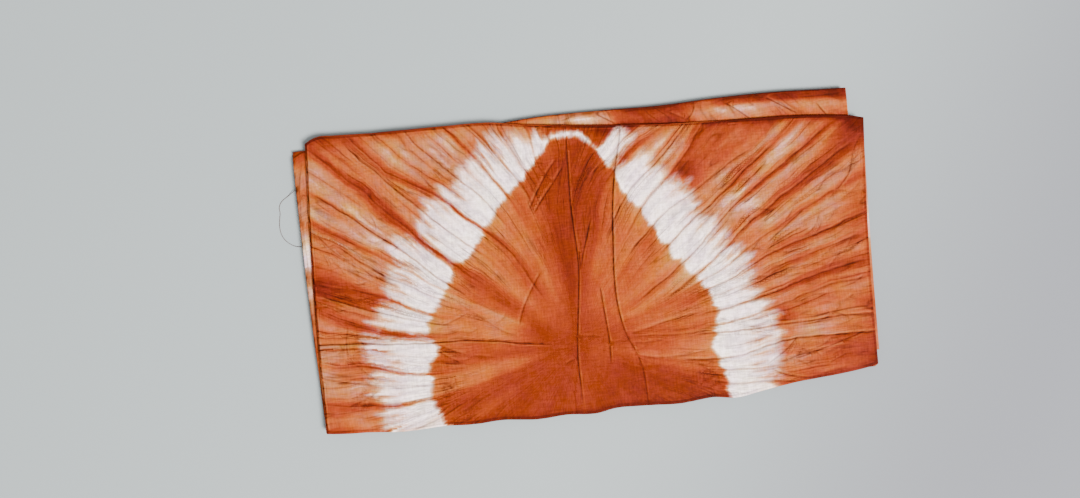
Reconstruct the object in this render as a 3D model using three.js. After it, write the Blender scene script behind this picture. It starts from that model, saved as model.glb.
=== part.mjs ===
// A length of hand-dyed silk, doubled along its length, folded flat into a neat stack,
// with one loose thread at its cut edge.
// Millimetres, +Z up. +X runs along the stack and +Y towards its back edge.
// The origin is on the surface that the cloth lies on, under the middle of the cloth.
import * as THREE from "three";

// The doubled cloth is one sheet here, which stands for both plies and the air in them.
const SHEET = 1.0;
const LAYER_GAP = 0.35;
const LAYER_PITCH = SHEET + LAYER_GAP;
const HALF_SHEET = SHEET / 2;

// The lower stack is square to the axes, and its top panel is turned a little on it.
const CLOTH_WIDTH = 1143;
const FOLDED_LENGTH = CLOTH_WIDTH / 2;
const PANEL_DEPTH = 292;
const STACK_CENTRE = { x: -6.4, y: 0.8 };
const TUCKED_END_Y = -118;

// How fine the sheet is worked out.
const COLUMNS = 24;
const ARC_STEPS = 3;
const COLUMN_ROOM = 0.013;

// The swells that the whole stack has, strongest in its top layer.
const SWELLS = [
  { height: 0.34, alongX: 262, alongY: 340, phase: 0.6 },
  { height: 0.24, alongX: 148, alongY: -215, phase: 2.1 },
  { height: 0.14, alongX: -96, alongY: 175, phase: 4.0 },
];
const SWELL_BASE = 0.55;
const SWELL_GROWTH = 2;

// The pleats of the tied ring, which fan out over the top panel from one centre.
const RING_CENTRE = { x: -24, y: -86 };
const PLEATS = 19;
const PLEAT_HEIGHT = 0.6;
const PLEAT_START = 60;
const PLEAT_FULL = 170;

// The pressed tuck on the top panel: its right side stands over its left side.
const TUCK_COLUMN = 0.577;
const TUCK_HEIGHT = 1.4;
const TUCK_LIP = 0.007;
const TUCK_FADE = 0.075;
const TUCK_REACH = 0.13;
// share: of the way from the back fold to the front fold; shift: along X.
const TUCK_BENDS = [
  { share: 0.0, shift: 0 },
  { share: 0.14, shift: -17 },
  { share: 0.62, shift: -27 },
  { share: 0.76, shift: -15 },
  { share: 0.88, shift: 3 },
  { share: 1.0, shift: 0 },
];

// The crease from the first folding, a soft trough up the middle of the top panel.
const CREASE_COLUMN = 0.471;
const CREASE_DEPTH = 0.5;
const CREASE_HALF_WIDTH = 0.011;

// Fold lines in plan, left to right: the outermost line that each fold reaches.
const TOP_BACK_FOLD = [
  { x: -277.5, y: 153.0 },
  { x: -265.0, y: 158.2 },
  { x: -206.0, y: 155.6 },
  { x: -86.0, y: 152.0 },
  { x: -51.5, y: 145.4 },
  { x: 43.5, y: 134.1 },
  { x: 116.5, y: 127.7 },
  { x: 246.5, y: 120.0 },
  { x: 293.6, y: 112.4 },
];
const TOP_FRONT_FOLD = [
  { x: -290.8, y: -146.5 },
  { x: -205.5, y: -153.3 },
  { x: -71.0, y: -156.7 },
  { x: 36.0, y: -155.6 },
  { x: 132.0, y: -158.2 },
  { x: 189.5, y: -150.8 },
  { x: 262.0, y: -145.0 },
  { x: 279.0, y: -142.0 },
];
const SECOND_BACK_FOLD = [
  { x: -292.5, y: 139.5 },
  { x: -284.0, y: 144.0 },
  { x: -180.0, y: 147.5 },
  { x: -35.0, y: 152.7 },
  { x: 89.0, y: 149.4 },
  { x: 151.0, y: 150.3 },
  { x: 280.3, y: 145.2 },
];

// The loose thread, from the cut edge out over the surface and back to the edge.
const THREAD_DIAMETER = 0.6;
const THREAD_SIDES = 8;
const THREAD_STEPS = 72;
const THREAD_ROUTE = [
  { x: -293.6, y: 108.4, z: 3.2 },
  { x: -296.9, y: 107.1, z: 3.1 },
  { x: -299.5, y: 105.6, z: 2.4 },
  { x: -302.2, y: 104.0, z: 1.4 },
  { x: -305.0, y: 102.4, z: 0.62 },
  { x: -308.0, y: 100.7, z: 0.34 },
  { x: -311.1, y: 98.6, z: 0.34 },
  { x: -313.9, y: 95.6, z: 0.34 },
  { x: -315.6, y: 91.2, z: 0.34 },
  { x: -315.4, y: 85.6, z: 0.34 },
  { x: -316.6, y: 79.3, z: 0.34 },
  { x: -317.5, y: 71.4, z: 0.34 },
  { x: -316.5, y: 63.4, z: 0.34 },
  { x: -313.2, y: 57.1, z: 0.34 },
  { x: -308.0, y: 52.2, z: 0.34 },
  { x: -303.0, y: 49.5, z: 0.6 },
  { x: -299.4, y: 48.6, z: 1.3 },
  { x: -297.4, y: 48.3, z: 1.75 },
  { x: -294.75, y: 48.2, z: 1.85 },
];

const DYED_SILK = new THREE.MeshStandardMaterial({ color: 0xc8642c, roughness: 0.62, metalness: 0 });
const RAW_THREAD = new THREE.MeshStandardMaterial({ color: 0xd98a5c, roughness: 0.7, metalness: 0 });

const clamp01 = (value) => THREE.MathUtils.clamp(value, 0, 1);
const smooth = (value, low, high) => THREE.MathUtils.smoothstep(value, low, high);

// The value of one column of a table at a place between its rows.
function between(rows, key, place, column) {
  let next = 1;
  while (next < rows.length - 1 && rows[next][key] < place) {
    next += 1;
  }
  const low = rows[next - 1];
  const high = rows[next];
  const share = clamp01((place - low[key]) / (high[key] - low[key]));
  return THREE.MathUtils.lerp(low[column], high[column], share);
}

// A hidden fold or end of the lower stack: straight, and moved a little from the rest.
function straightLine(y, shift) {
  const middle = STACK_CENTRE.x + shift.x;
  return [
    { x: middle - FOLDED_LENGTH / 2, y: y + shift.y - shift.turn },
    { x: middle + FOLDED_LENGTH / 2, y: y + shift.y + shift.turn },
  ];
}

const BACK_Y = STACK_CENTRE.y + PANEL_DEPTH / 2;
const FRONT_Y = STACK_CENTRE.y - PANEL_DEPTH / 2;

// The lines that bound the panels, in order along the cloth. side is the way that the
// fold bulges, +1 to the back and -1 to the front; 0 is a cut end.
const LINES = [
  { side: 0, rows: straightLine(TUCKED_END_Y, { x: 3, y: 0, turn: -9 }) },
  { side: 1, rows: TOP_BACK_FOLD },
  { side: -1, rows: TOP_FRONT_FOLD },
  { side: 1, rows: SECOND_BACK_FOLD },
  { side: -1, rows: straightLine(FRONT_Y, { x: 0.2, y: 0.6, turn: 0.8 }) },
  { side: 1, rows: straightLine(BACK_Y, { x: -0.4, y: -0.5, turn: -0.6 }) },
  { side: -1, rows: straightLine(FRONT_Y, { x: -0.2, y: -0.4, turn: 0.5 }) },
  { side: 1, rows: straightLine(BACK_Y, { x: -1.4, y: -1.6, turn: 0.9 }) },
  { side: 0, rows: straightLine(FRONT_Y, { x: -0.9, y: 1.9, turn: -1.1 }) },
];

// The panels between those lines. level counts up from the surface, rows is how many
// steps a panel has from line to line, and sway is how far its middle bows to the left.
const PANELS = [
  { level: 6, rows: 5, sway: 1.2 },
  { level: 7, rows: 9, sway: 2.6 },
  { level: 5, rows: 5, sway: 1.4 },
  { level: 4, rows: 3, sway: 0.6 },
  { level: 3, rows: 2, sway: 0.9 },
  { level: 2, rows: 2, sway: 0.5 },
  { level: 1, rows: 2, sway: 1.9 },
  { level: 0, rows: 2, sway: 1.6 },
];
const TOP_LEVEL = Math.max(...PANELS.map((panel) => panel.level));

// The plan place and the outward direction of a line at a column, 0 left to 1 right.
function lineAt(line, column) {
  const left = line.rows[0];
  const right = line.rows[line.rows.length - 1];
  const x = THREE.MathUtils.lerp(left.x, right.x, column);
  const along = new THREE.Vector2(right.x - left.x, right.y - left.y).normalize();
  return {
    place: new THREE.Vector2(x, between(line.rows, "x", x, "y")),
    outward: new THREE.Vector2(-along.y, along.x).multiplyScalar(line.side),
  };
}

// How much the stack swells at a place, never less than nothing.
function swell(x, y) {
  let height = SWELL_BASE;
  for (const wave of SWELLS) {
    height += wave.height * Math.sin(2 * Math.PI * (x / wave.alongX + y / wave.alongY) + wave.phase);
  }
  return Math.max(height, 0);
}

// The rise of the tied pleats, 0 at the centre and full outside the ring.
function pleatRise(x, y) {
  const dx = x - RING_CENTRE.x;
  const dy = y - RING_CENTRE.y;
  const angle = Math.atan2(dy, dx);
  const away = smooth(Math.hypot(dx, dy), PLEAT_START, PLEAT_FULL);
  return PLEAT_HEIGHT * away * (0.5 + 0.5 * Math.cos(PLEATS * angle));
}

// The tuck's step: nothing on its left, full height at its lip, then fading away.
function tuckRise(column, share) {
  const beyond = column - (TUCK_COLUMN - TUCK_LIP);
  const lip = clamp01(beyond / TUCK_LIP);
  const fade = Math.exp(-Math.max(column - TUCK_COLUMN, 0) / TUCK_FADE);
  const ends = 0.55 + 0.45 * Math.sin(Math.PI * share);
  return TUCK_HEIGHT * lip * fade * ends;
}

// The trough that the first fold left: its depth at a column.
function creaseDepth(column) {
  const away = Math.abs(column - CREASE_COLUMN) / CREASE_HALF_WIDTH;
  return CREASE_DEPTH * Math.max(1 - away, 0);
}

// The height of a panel's middle surface at a place.
function panelHeight(panel, x, y, column, share) {
  const flat = HALF_SHEET + panel.level * LAYER_PITCH;
  const raised = flat + swell(x, y) * (panel.level / TOP_LEVEL) ** SWELL_GROWTH;
  if (panel.level < TOP_LEVEL) {
    return raised;
  }
  const form = pleatRise(x, y) + tuckRise(column, share) + CREASE_DEPTH;
  return raised + Math.max(form - creaseDepth(column), 0);
}

// A panel's plan place at a share of the way from its first line to its second.
function panelPlace(panel, from, to, column, share) {
  const place = from.clone().lerp(to, share);
  place.x -= panel.sway * Math.sin(Math.PI * share);
  if (panel.level === TOP_LEVEL) {
    const near = 1 - smooth(Math.abs(column - TUCK_COLUMN), 0, TUCK_REACH);
    place.x += near * between(TUCK_BENDS, "share", share, "shift");
  }
  return place;
}

// Half the height difference between the two panels that meet at a line.
function foldRadius(index, line, column) {
  const x = line.place.x;
  const y = line.place.y;
  const before = panelHeight(PANELS[index - 1], x, y, column, 1);
  const after = panelHeight(PANELS[index], x, y, column, 0);
  return Math.abs(before - after) / 2;
}

// The plan place where a panel's flat run meets the fold at one of its lines.
function runEnd(index, column) {
  const line = lineAt(LINES[index], column);
  if (LINES[index].side === 0) {
    return line.place;
  }
  const inset = foldRadius(index, line, column) + HALF_SHEET;
  return line.place.clone().addScaledVector(line.outward, -inset);
}

// One section of the cloth, from its tucked end to its outer end. Each point has its
// place on the middle surface and the direction of the sheet's first face there.
function section(column) {
  const points = [];
  PANELS.forEach((panel, index) => {
    const from = runEnd(index, column);
    const to = runEnd(index + 1, column);
    const facing = to.y < from.y ? 1 : -1;
    for (let row = 0; row <= panel.rows; row += 1) {
      const share = row / panel.rows;
      const place = panelPlace(panel, from, to, column, share);
      const z = panelHeight(panel, place.x, place.y, column, share);
      points.push({
        at: new THREE.Vector3(place.x, place.y, z),
        face: new THREE.Vector3(0, 0, facing),
        bend: false,
      });
    }
    points[points.length - 1].bend = index < PANELS.length - 1;
  });
  return roundFolds(points, column);
}

// Puts the arc of each fold between the two points that it joins.
function roundFolds(points, column) {
  const rounded = [];
  let lineIndex = 0;
  points.forEach((point, index) => {
    rounded.push(point);
    if (!point.bend) {
      return;
    }
    lineIndex += 1;
    const next = points[index + 1];
    const middle = point.at.clone().add(next.at).multiplyScalar(0.5);
    const outward = lineAt(LINES[lineIndex], column).outward;
    const radius = Math.abs(point.at.z - next.at.z) / 2;
    const rising = Math.sign(point.at.z - next.at.z);
    for (let step = 1; step < ARC_STEPS; step += 1) {
      const angle = (Math.PI * step) / ARC_STEPS;
      const radial = new THREE.Vector3(
        outward.x * Math.sin(angle),
        outward.y * Math.sin(angle),
        rising * Math.cos(angle),
      );
      const drift = next.at.clone().sub(point.at).multiplyScalar(step / ARC_STEPS - 0.5);
      rounded.push({
        at: middle.clone().addScaledVector(radial, radius).add(new THREE.Vector3(drift.x, drift.y, 0)),
        face: radial.clone().multiplyScalar(rising * point.face.z),
      });
    }
  });
  return rounded;
}

// The columns: evenly spaced, with more along the tuck and the crease.
function columnPlaces() {
  const marked = [
    TUCK_COLUMN - TUCK_LIP,
    TUCK_COLUMN,
    CREASE_COLUMN - CREASE_HALF_WIDTH,
    CREASE_COLUMN,
    CREASE_COLUMN + CREASE_HALF_WIDTH,
  ];
  const even = Array.from({ length: COLUMNS + 1 }, (_, index) => index / COLUMNS);
  const apart = even.filter((place) => marked.every((mark) => Math.abs(mark - place) > COLUMN_ROOM));
  return [...marked, ...apart].sort((a, b) => a - b);
}

// The closed skin of a sheet whose middle surface is given as one section per column.
function sheetSolid(sections) {
  const count = sections[0].length;
  const positions = [];
  for (const points of sections) {
    for (const side of [HALF_SHEET, -HALF_SHEET]) {
      for (const point of points) {
        positions.push(...point.at.clone().addScaledVector(point.face, side).toArray());
      }
    }
  }
  const vertex = (column, side, row) => (column * 2 + side) * count + row;
  const triangles = [];
  const quad = (a, b, c, d) => triangles.push(a, b, c, a, c, d);
  const lastColumn = sections.length - 1;
  const lastRow = count - 1;
  for (let column = 0; column < lastColumn; column += 1) {
    const right = column + 1;
    for (let row = 0; row < lastRow; row += 1) {
      quad(
        vertex(column, 0, row), vertex(column, 0, row + 1),
        vertex(right, 0, row + 1), vertex(right, 0, row),
      );
      quad(
        vertex(column, 1, row), vertex(right, 1, row),
        vertex(right, 1, row + 1), vertex(column, 1, row + 1),
      );
    }
    quad(vertex(column, 0, 0), vertex(right, 0, 0), vertex(right, 1, 0), vertex(column, 1, 0));
    quad(
      vertex(column, 0, lastRow), vertex(column, 1, lastRow),
      vertex(right, 1, lastRow), vertex(right, 0, lastRow),
    );
  }
  for (let row = 0; row < lastRow; row += 1) {
    quad(vertex(0, 0, row), vertex(0, 1, row), vertex(0, 1, row + 1), vertex(0, 0, row + 1));
    quad(
      vertex(lastColumn, 0, row), vertex(lastColumn, 0, row + 1),
      vertex(lastColumn, 1, row + 1), vertex(lastColumn, 1, row),
    );
  }
  const geometry = new THREE.BufferGeometry();
  geometry.setAttribute("position", new THREE.Float32BufferAttribute(positions, 3));
  geometry.setIndex(triangles);
  geometry.computeVertexNormals();
  return geometry;
}

function makeCloth() {
  const cloth = new THREE.Mesh(sheetSolid(columnPlaces().map(section)), DYED_SILK);
  cloth.name = "folded_cloth";
  return cloth;
}

function makeThread() {
  const route = new THREE.CatmullRomCurve3(
    THREAD_ROUTE.map((point) => new THREE.Vector3(point.x, point.y, point.z)),
  );
  const outline = Array.from({ length: THREAD_SIDES }, (_, index) => {
    const angle = (2 * Math.PI * index) / THREAD_SIDES;
    return new THREE.Vector2(Math.cos(angle), Math.sin(angle)).multiplyScalar(THREAD_DIAMETER / 2);
  });
  const geometry = new THREE.ExtrudeGeometry(new THREE.Shape(outline), {
    steps: THREAD_STEPS,
    extrudePath: route,
    bevelEnabled: false,
  });
  const thread = new THREE.Mesh(geometry, RAW_THREAD);
  thread.name = "loose_thread";
  return thread;
}

const group = new THREE.Group();
group.add(makeCloth());
group.add(makeThread());

export default group;
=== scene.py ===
"""Dresses a folded length of resist-dyed silk and its loose thread.

The cloth is one closed mesh of both plies of the doubled silk, folded back and forth, with
the dye of the tied rings worked out over it from short tables. Tables are in millimetres
in plan unless they say otherwise; meshes are in metres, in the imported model's frame.
"""
import logging
import math
from dataclasses import dataclass, field
from enum import Enum, IntEnum
from typing import Any, Sequence

import bmesh
import bpy
import numpy as np
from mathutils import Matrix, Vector


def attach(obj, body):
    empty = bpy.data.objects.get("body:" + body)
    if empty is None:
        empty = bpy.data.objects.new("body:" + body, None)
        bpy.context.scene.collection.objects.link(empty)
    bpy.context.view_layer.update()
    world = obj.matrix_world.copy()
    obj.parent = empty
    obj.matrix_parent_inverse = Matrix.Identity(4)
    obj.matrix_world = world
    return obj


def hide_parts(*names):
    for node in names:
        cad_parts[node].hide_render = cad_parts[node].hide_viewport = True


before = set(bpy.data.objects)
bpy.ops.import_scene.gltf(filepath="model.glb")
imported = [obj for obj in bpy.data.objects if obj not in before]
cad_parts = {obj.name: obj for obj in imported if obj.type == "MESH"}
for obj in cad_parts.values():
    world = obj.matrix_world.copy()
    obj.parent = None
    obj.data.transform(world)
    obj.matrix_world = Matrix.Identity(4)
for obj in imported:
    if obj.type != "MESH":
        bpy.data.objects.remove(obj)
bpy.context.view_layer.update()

MM = 0.001
FULL_TURN_DEG = 360.0
LOG = logging.getLogger("folded_silk")

Array = np.ndarray
Point = tuple[float, float]
Colour = tuple[float, float, float, float]

# A distance past the reach of any crease, in millimetres.
FAR = 1000.0

# Large odd numbers that scatter the whole grid places well.
SCATTER = (0x9E3779B97F4A7C15, 0xC2B2AE3D27D4EB4F, 0xBF58476D1CE4E5B9)
SEED_STEP, SEED_START = 7919, 17


class Layer(IntEnum):
    """The layers of noise and chance over the cloth: each one's seed."""

    STREAK = 1
    STRAND = 2
    FEATHER = 3
    TICKS = 4
    CLOUD = 5
    DRIFT_ACROSS = 6
    DRIFT_ALONG = 8
    RIBS = 11
    BLOTCH = 13
    WAVES = 21
    RIPPLES = 22
    RIDGES = 31
    SMALL_RIDGES = 32
    EDGE_WANDER = 41
    EDGE_FIBRES = 42
    EDGE_LINE = 44
    STRIP_GRAIN = 46
    FINE_PLACE = 51
    FINE_SWAY = 52
    FINE_CHANCE = 53
    FINE_ALONG = 54


def smooth(value: Array, low: float, high: float) -> Array:
    """Rises from 0 at low to 1 at high, flat at both ends."""
    share = np.clip((np.asarray(value, float) - low) / (high - low), 0.0, 1.0)
    return share * share * (3.0 - 2.0 * share)


def bell(distance: Array, width: float | Array) -> Array:
    """A Gaussian bell, 1 at no distance."""
    return np.exp(-np.square(np.asarray(distance, float) / width))


def eased(rows: Sequence[Sequence[float]], at: Array, column: int = 1) -> Array:
    """Reads a smooth curve through a table's rows.

    Args:
        rows: The table, whose first column rises.
        at: The places in the first column's units.
        column: The column that is read.

    Returns:
        The column's value at each place, held level past the ends.
    """
    table = np.asarray(rows, float)
    xs, ys = table[:, 0], table[:, column]
    slopes = np.gradient(ys, xs)
    low = np.clip(np.searchsorted(xs, at) - 1, 0, len(xs) - 2)
    step = xs[low + 1] - xs[low]
    t = np.clip((at - xs[low]) / step, 0.0, 1.0)
    from_low = (1 + 2 * t) * (1 - t) ** 2 * ys[low] + t * (1 - t) ** 2 * step * slopes[low]
    from_high = t * t * (3 - 2 * t) * ys[low + 1] + t * t * (t - 1) * step * slopes[low + 1]
    return from_low + from_high


def lattice(column: Array, row: Array, seed: int) -> Array:
    """One settled random number from 0 to 1 for each whole grid place."""
    across, along, mixer = (np.uint64(number) for number in SCATTER)
    mixed = column.astype(np.int64).astype(np.uint64) * across
    mixed = mixed + row.astype(np.int64).astype(np.uint64) * along
    mixed = mixed + np.uint64(seed * SEED_STEP + SEED_START)
    mixed ^= mixed >> np.uint64(29)
    mixed *= mixer
    mixed ^= mixed >> np.uint64(32)
    return (mixed & np.uint64(0xFFFFFF)).astype(float) / float(0xFFFFFF)


def noise(x: Array, y: Array, seed: int) -> Array:
    """Smooth noise from -1 to 1 that changes over about one unit."""
    x, y = np.broadcast_arrays(np.asarray(x, float), np.asarray(y, float))
    column, row = np.floor(x), np.floor(y)
    across, along = x - column, y - row
    across = across**3 * (across * (across * 6 - 15) + 10)
    along = along**3 * (along * (along * 6 - 15) + 10)
    low = lattice(column, row, seed) * (1 - across) + lattice(column + 1, row, seed) * across
    row = row + 1
    high = lattice(column, row, seed) * (1 - across) + lattice(column + 1, row, seed) * across
    return 2.0 * (low * (1 - along) + high * along) - 1.0


@dataclass(frozen=True)
class PhotoFrame:
    """How a place in the photograph, in pixels, lies on the cloth in plan."""

    mm_per_px: float = 1.0297
    turn_deg: float = 6.8
    middle_px: Point = (585.5, 259.25)
    middle: Point = (-6.0, 0.8)

    def plan(self, px: Array, py: Array) -> tuple[Array, Array]:
        """The plan place of a pixel of the photograph."""
        turn = math.radians(self.turn_deg)
        right = (np.asarray(px, float) - self.middle_px[0]) * self.mm_per_px
        up = (self.middle_px[1] - np.asarray(py, float)) * self.mm_per_px
        x = right * math.cos(turn) + up * math.sin(turn)
        y = up * math.cos(turn) - right * math.sin(turn)
        return x + self.middle[0], y + self.middle[1]

    def pixel(self, x: Array, y: Array) -> tuple[Array, Array]:
        """The pixel of the photograph over a plan place."""
        turn = math.radians(self.turn_deg)
        x, y = np.asarray(x, float) - self.middle[0], np.asarray(y, float) - self.middle[1]
        right = x * math.cos(turn) - y * math.sin(turn)
        up = x * math.sin(turn) + y * math.cos(turn)
        return self.middle_px[0] + right / self.mm_per_px, self.middle_px[1] - up / self.mm_per_px


PHOTO = PhotoFrame()


@dataclass(frozen=True)
class Crease:
    """One pleat line of the tied ring, and the pleat that follows it clockwise.

    Attributes:
        at: Its angle at each of CREASE_RADII, in degrees as the camera sees it.
        line: How dark its thin line is, from 0 to 1.
        reach: The radii that the thin line runs between.
        bleed: How strongly dye follows it at each of BLEED_RADII.
        width: How wide that dye is there, as the half width of a bell.
        face: The dye that the next pleat took inside and outside the ring.
    """

    at: tuple[float, float, float, float]
    line: float
    reach: Point
    bleed: tuple[float, float, float, float, float]
    width: tuple[float, float, float, float, float]
    face: Point


# Radii and widths in the ring's tables are in units of PHOTO.mm_per_px.
CREASE_RADII = (110.0, 155.0, 200.0, 260.0)
BLEED_RADII = (105.0, 150.0, 192.0, 235.0, 285.0)
CREASES = tuple(Crease(*row) for row in (
    ((205.5, 208, 207, 206.5), 0.6, (125, 228),
     (0.3, 0.25, 0.22, 0.25, 0.2), (5, 9, 7, 6, 6), (0.82, 0.3)),
    ((203, 204.3, 203, 202), 0.25, (140, 230),
     (0, 0.05, 0.08, 0.15, 0.1), (4, 2, 2, 4, 4), (0.78, 0.36)),
    ((201, 200.3, 197.6, 193), 0.4, (140, 262),
     (0.2, 0.5, 0.9, 0.7, 0.5), (6, 2, 4, 8, 8), (0.62, 0.28)),
    ((196.5, 195.3, 192.2, 190.5), 0.5, (130, 204),
     (0.2, 0.15, 0.1, 0.05, 0), (5, 1.5, 2, 3, 3), (0.58, 0.22)),
    ((192, 191, 186.8, 184.5), 0.4, (135, 250),
     (0.3, 0.6, 0.9, 0.4, 0.15), (8, 2, 3.5, 5, 5), (0.62, 0.25)),
    ((190, 186.5, 183.4, 182), 0.45, (120, 226),
     (0.1, 0.12, 0.12, 0.1, 0.1), (4, 1.5, 1.5, 3, 3), (0.72, 0.2)),
    ((177.8, 179.2, 179.8, 180), 1, (26, 270),
     (0.4, 0.2, 0.25, 0.35, 0.3), (4, 1.5, 1.8, 2.5, 2.5), (0.55, 0.2)),
    ((174.6, 176.8, 176.2, 173), 0.3, (135, 262),
     (0.2, 0.8, 1, 0.8, 0.55), (4, 6, 8, 6, 7), (0.5, 0.4)),
    ((169.8, 171.2, 170.7, 169.2), 0.75, (130, 266),
     (0.2, 0.15, 0.15, 0.35, 0.5), (4, 1.5, 2, 4, 6), (0.5, 0.7)),
    ((167.5, 167.9, 166.2, 166), 0.3, (140, 262),
     (0.15, 0.6, 0.85, 0.95, 0.9), (4, 2.5, 4, 7, 10), (0.52, 0.36)),
    ((161, 161.2, 160.5, 157.5), 0.7, (138, 262),
     (0.15, 0.2, 0.25, 0.45, 0.5), (4, 1.5, 2, 3, 4), (0.46, 0.24)),
    ((157.8, 157, 156.3, 155.5), 0.3, (150, 290),
     (0.15, 0.3, 0.5, 0.7, 0.75), (4, 2, 3, 4, 4), (0.6, 0.22)),
    ((156.5, 153.7, 151.8, 150.5), 0.85, (124, 300),
     (0.25, 0.25, 0.3, 0.45, 0.55), (5, 1.5, 2, 3, 3), (0.64, 0.2)),
    ((147.5, 146.6, 146, 144.2), 0.5, (120, 334),
     (0.75, 0.95, 1, 1, 0.9), (13, 4.5, 8, 9, 6), (0.56, 0.25)),
    ((136.5, 137.8, 139.2, 139.6), 0.75, (132, 305),
     (0.15, 0.2, 0.25, 0.35, 0.5), (4, 1.5, 2, 3, 6), (0.62, 0.32)),
    ((125.5, 130, 133.3, 138), 0.55, (60, 310),
     (0.6, 0.85, 0.9, 0.85, 0.6), (10, 3, 3, 4.5, 9), (0.56, 0.3)),
    ((120, 121.8, 125.8, 129), 0.65, (140, 280),
     (0.2, 0.2, 0.25, 0.35, 0.3), (5, 1.6, 2, 3, 4), (0.64, 0.26)),
    ((112.5, 114.5, 118.3, 122), 0.5, (160, 266),
     (0.1, 0.6, 0.55, 0.8, 0.6), (4, 2.5, 3.5, 3, 3), (0.7, 0.28)),
    ((106.5, 108.5, 112.5, 118), 0.6, (150, 256),
     (0.1, 0.2, 0.4, 0.5, 0.5), (4, 1.5, 2.5, 3, 3), (0.76, 0.25)),
    ((103, 104.5, 108.2, 112), 0.4, (165, 240),
     (0.1, 0.2, 0.4, 0.3, 0.3), (4, 1.4, 4, 3, 3), (0.8, 0.3)),
    ((101.2, 102, 103, 106), 0.35, (180, 232),
     (0.05, 0.2, 0.25, 0.3, 0.3), (4, 1.4, 2, 3, 3), (0.85, 0.5)),
    ((100, 99, 97.8, 99), 0.2, (195, 228),
     (0.05, 0.2, 0.2, 0.4, 0.4), (4, 1.2, 1.2, 3, 3), (0.88, 0.75)),
    ((97, 95.5, 92, 91.5), 0.15, (205, 228),
     (0.05, 0.2, 0.2, 0.4, 0.4), (4, 1.2, 1.2, 3, 3), (0.9, 0.8)),
    ((95, 92, 86.5, 84), 0.2, (195, 228),
     (0.05, 0.2, 0.2, 0.5, 0.5), (4, 1.2, 1.2, 4, 4), (0.9, 0.8)),
    ((91.5, 88, 79.2, 69), 0.45, (168, 236),
     (0.05, 0.2, 0.25, 0.3, 0.3), (4, 1.4, 1.6, 3, 3), (0.85, 0.12)),
    ((80, 81.2, 74.9, 64), 0.35, (160, 246),
     (0, 0.25, 1, 0.45, 0.4), (5, 2.5, 11, 4, 4), (0.66, 0.34)),
    ((76.5, 72.5, 66.6, 63.4), 0.65, (128, 256),
     (0.1, 0.25, 0.3, 0.4, 0.4), (4, 1.5, 2, 3.5, 3.5), (0.62, 0.24)),
    ((67.5, 65, 61.2, 61), 0.45, (120, 262),
     (0.25, 0.45, 0.75, 0.85, 0.6), (6, 2, 3, 8, 9), (0.58, 0.58)),
    ((60.4, 56.8, 52.4, 48.6), 0.65, (110, 262),
     (0.2, 0.25, 0.3, 0.4, 0.4), (5, 1.5, 2, 4, 4), (0.64, 0.33)),
    ((48.7, 47.6, 46.7, 46), 0.8, (125, 280),
     (0.2, 0.25, 0.6, 0.85, 0.65), (5, 2, 4, 7, 5), (0.54, 0.19)),
    ((37, 39.6, 41.6, 41.5), 0.7, (80, 330),
     (0.5, 0.25, 0.4, 0.85, 0.8), (8, 1.6, 3, 5, 5), (0.48, 0.22)),
    ((29, 32.5, 34.9, 36.6), 0.65, (100, 340),
     (0.35, 0.45, 0.5, 0.85, 0.95), (6, 2.4, 3, 6, 9), (0.54, 0.3)),
    ((27.5, 28.3, 29.8, 31.2), 0.4, (120, 300),
     (0.15, 0.3, 0.35, 0.7, 0.65), (4, 1.7, 3, 5, 5), (0.7, 0.32)),
    ((23, 23.8, 25.2, 25), 0.65, (128, 318),
     (0.15, 0.3, 0.35, 0.75, 0.8), (4, 1.7, 3, 6, 6), (0.7, 0.36)),
    ((19.5, 20.3, 21.2, 21.5), 0.35, (130, 300),
     (0.1, 0.22, 0.3, 0.65, 0.6), (4, 1.6, 3, 5, 5), (0.66, 0.4)),
    ((13.8, 14.4, 15.5, 16.6), 0.65, (128, 300),
     (0.1, 0.45, 0.65, 0.95, 0.9), (4, 1.8, 3, 6, 7), (0.66, 0.38)),
    ((7.5, 9, 11.5, 13.5), 0.55, (130, 300),
     (0.1, 0.45, 0.4, 0.45, 0.4), (4, 1.6, 2.5, 5, 5), (0.6, 0.34)),
    ((4.8, 5.3, 6.1, 6.5), 0.7, (120, 300),
     (0.15, 0.3, 0.35, 0.5, 0.4), (4, 1.6, 2, 4, 4), (0.56, 0.26)),
    ((-8, -4.2, 1, 2.8), 0.85, (110, 304),
     (0.15, 0.3, 0.3, 0.4, 0.4), (4, 1.6, 2, 3, 3), (0.62, 0.4)),
    ((-12, -9, -5.4, -1), 0.6, (140, 204),
     (0.15, 0.28, 0.3, 0.35, 0.3), (4, 1.6, 2, 3, 3), (0.7, 0.42)),
    ((-15.5, -14, -10, -8), 0.6, (140, 300),
     (0.15, 0.28, 0.3, 0.6, 0.7), (4, 1.8, 3, 6, 6), (0.75, 0.38)),
    ((-21, -20, -17, -14), 0.5, (130, 300),
     (0.15, 0.28, 0.3, 0.4, 0.4), (5, 2, 4, 5, 5), (0.8, 0.4)),
))

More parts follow.
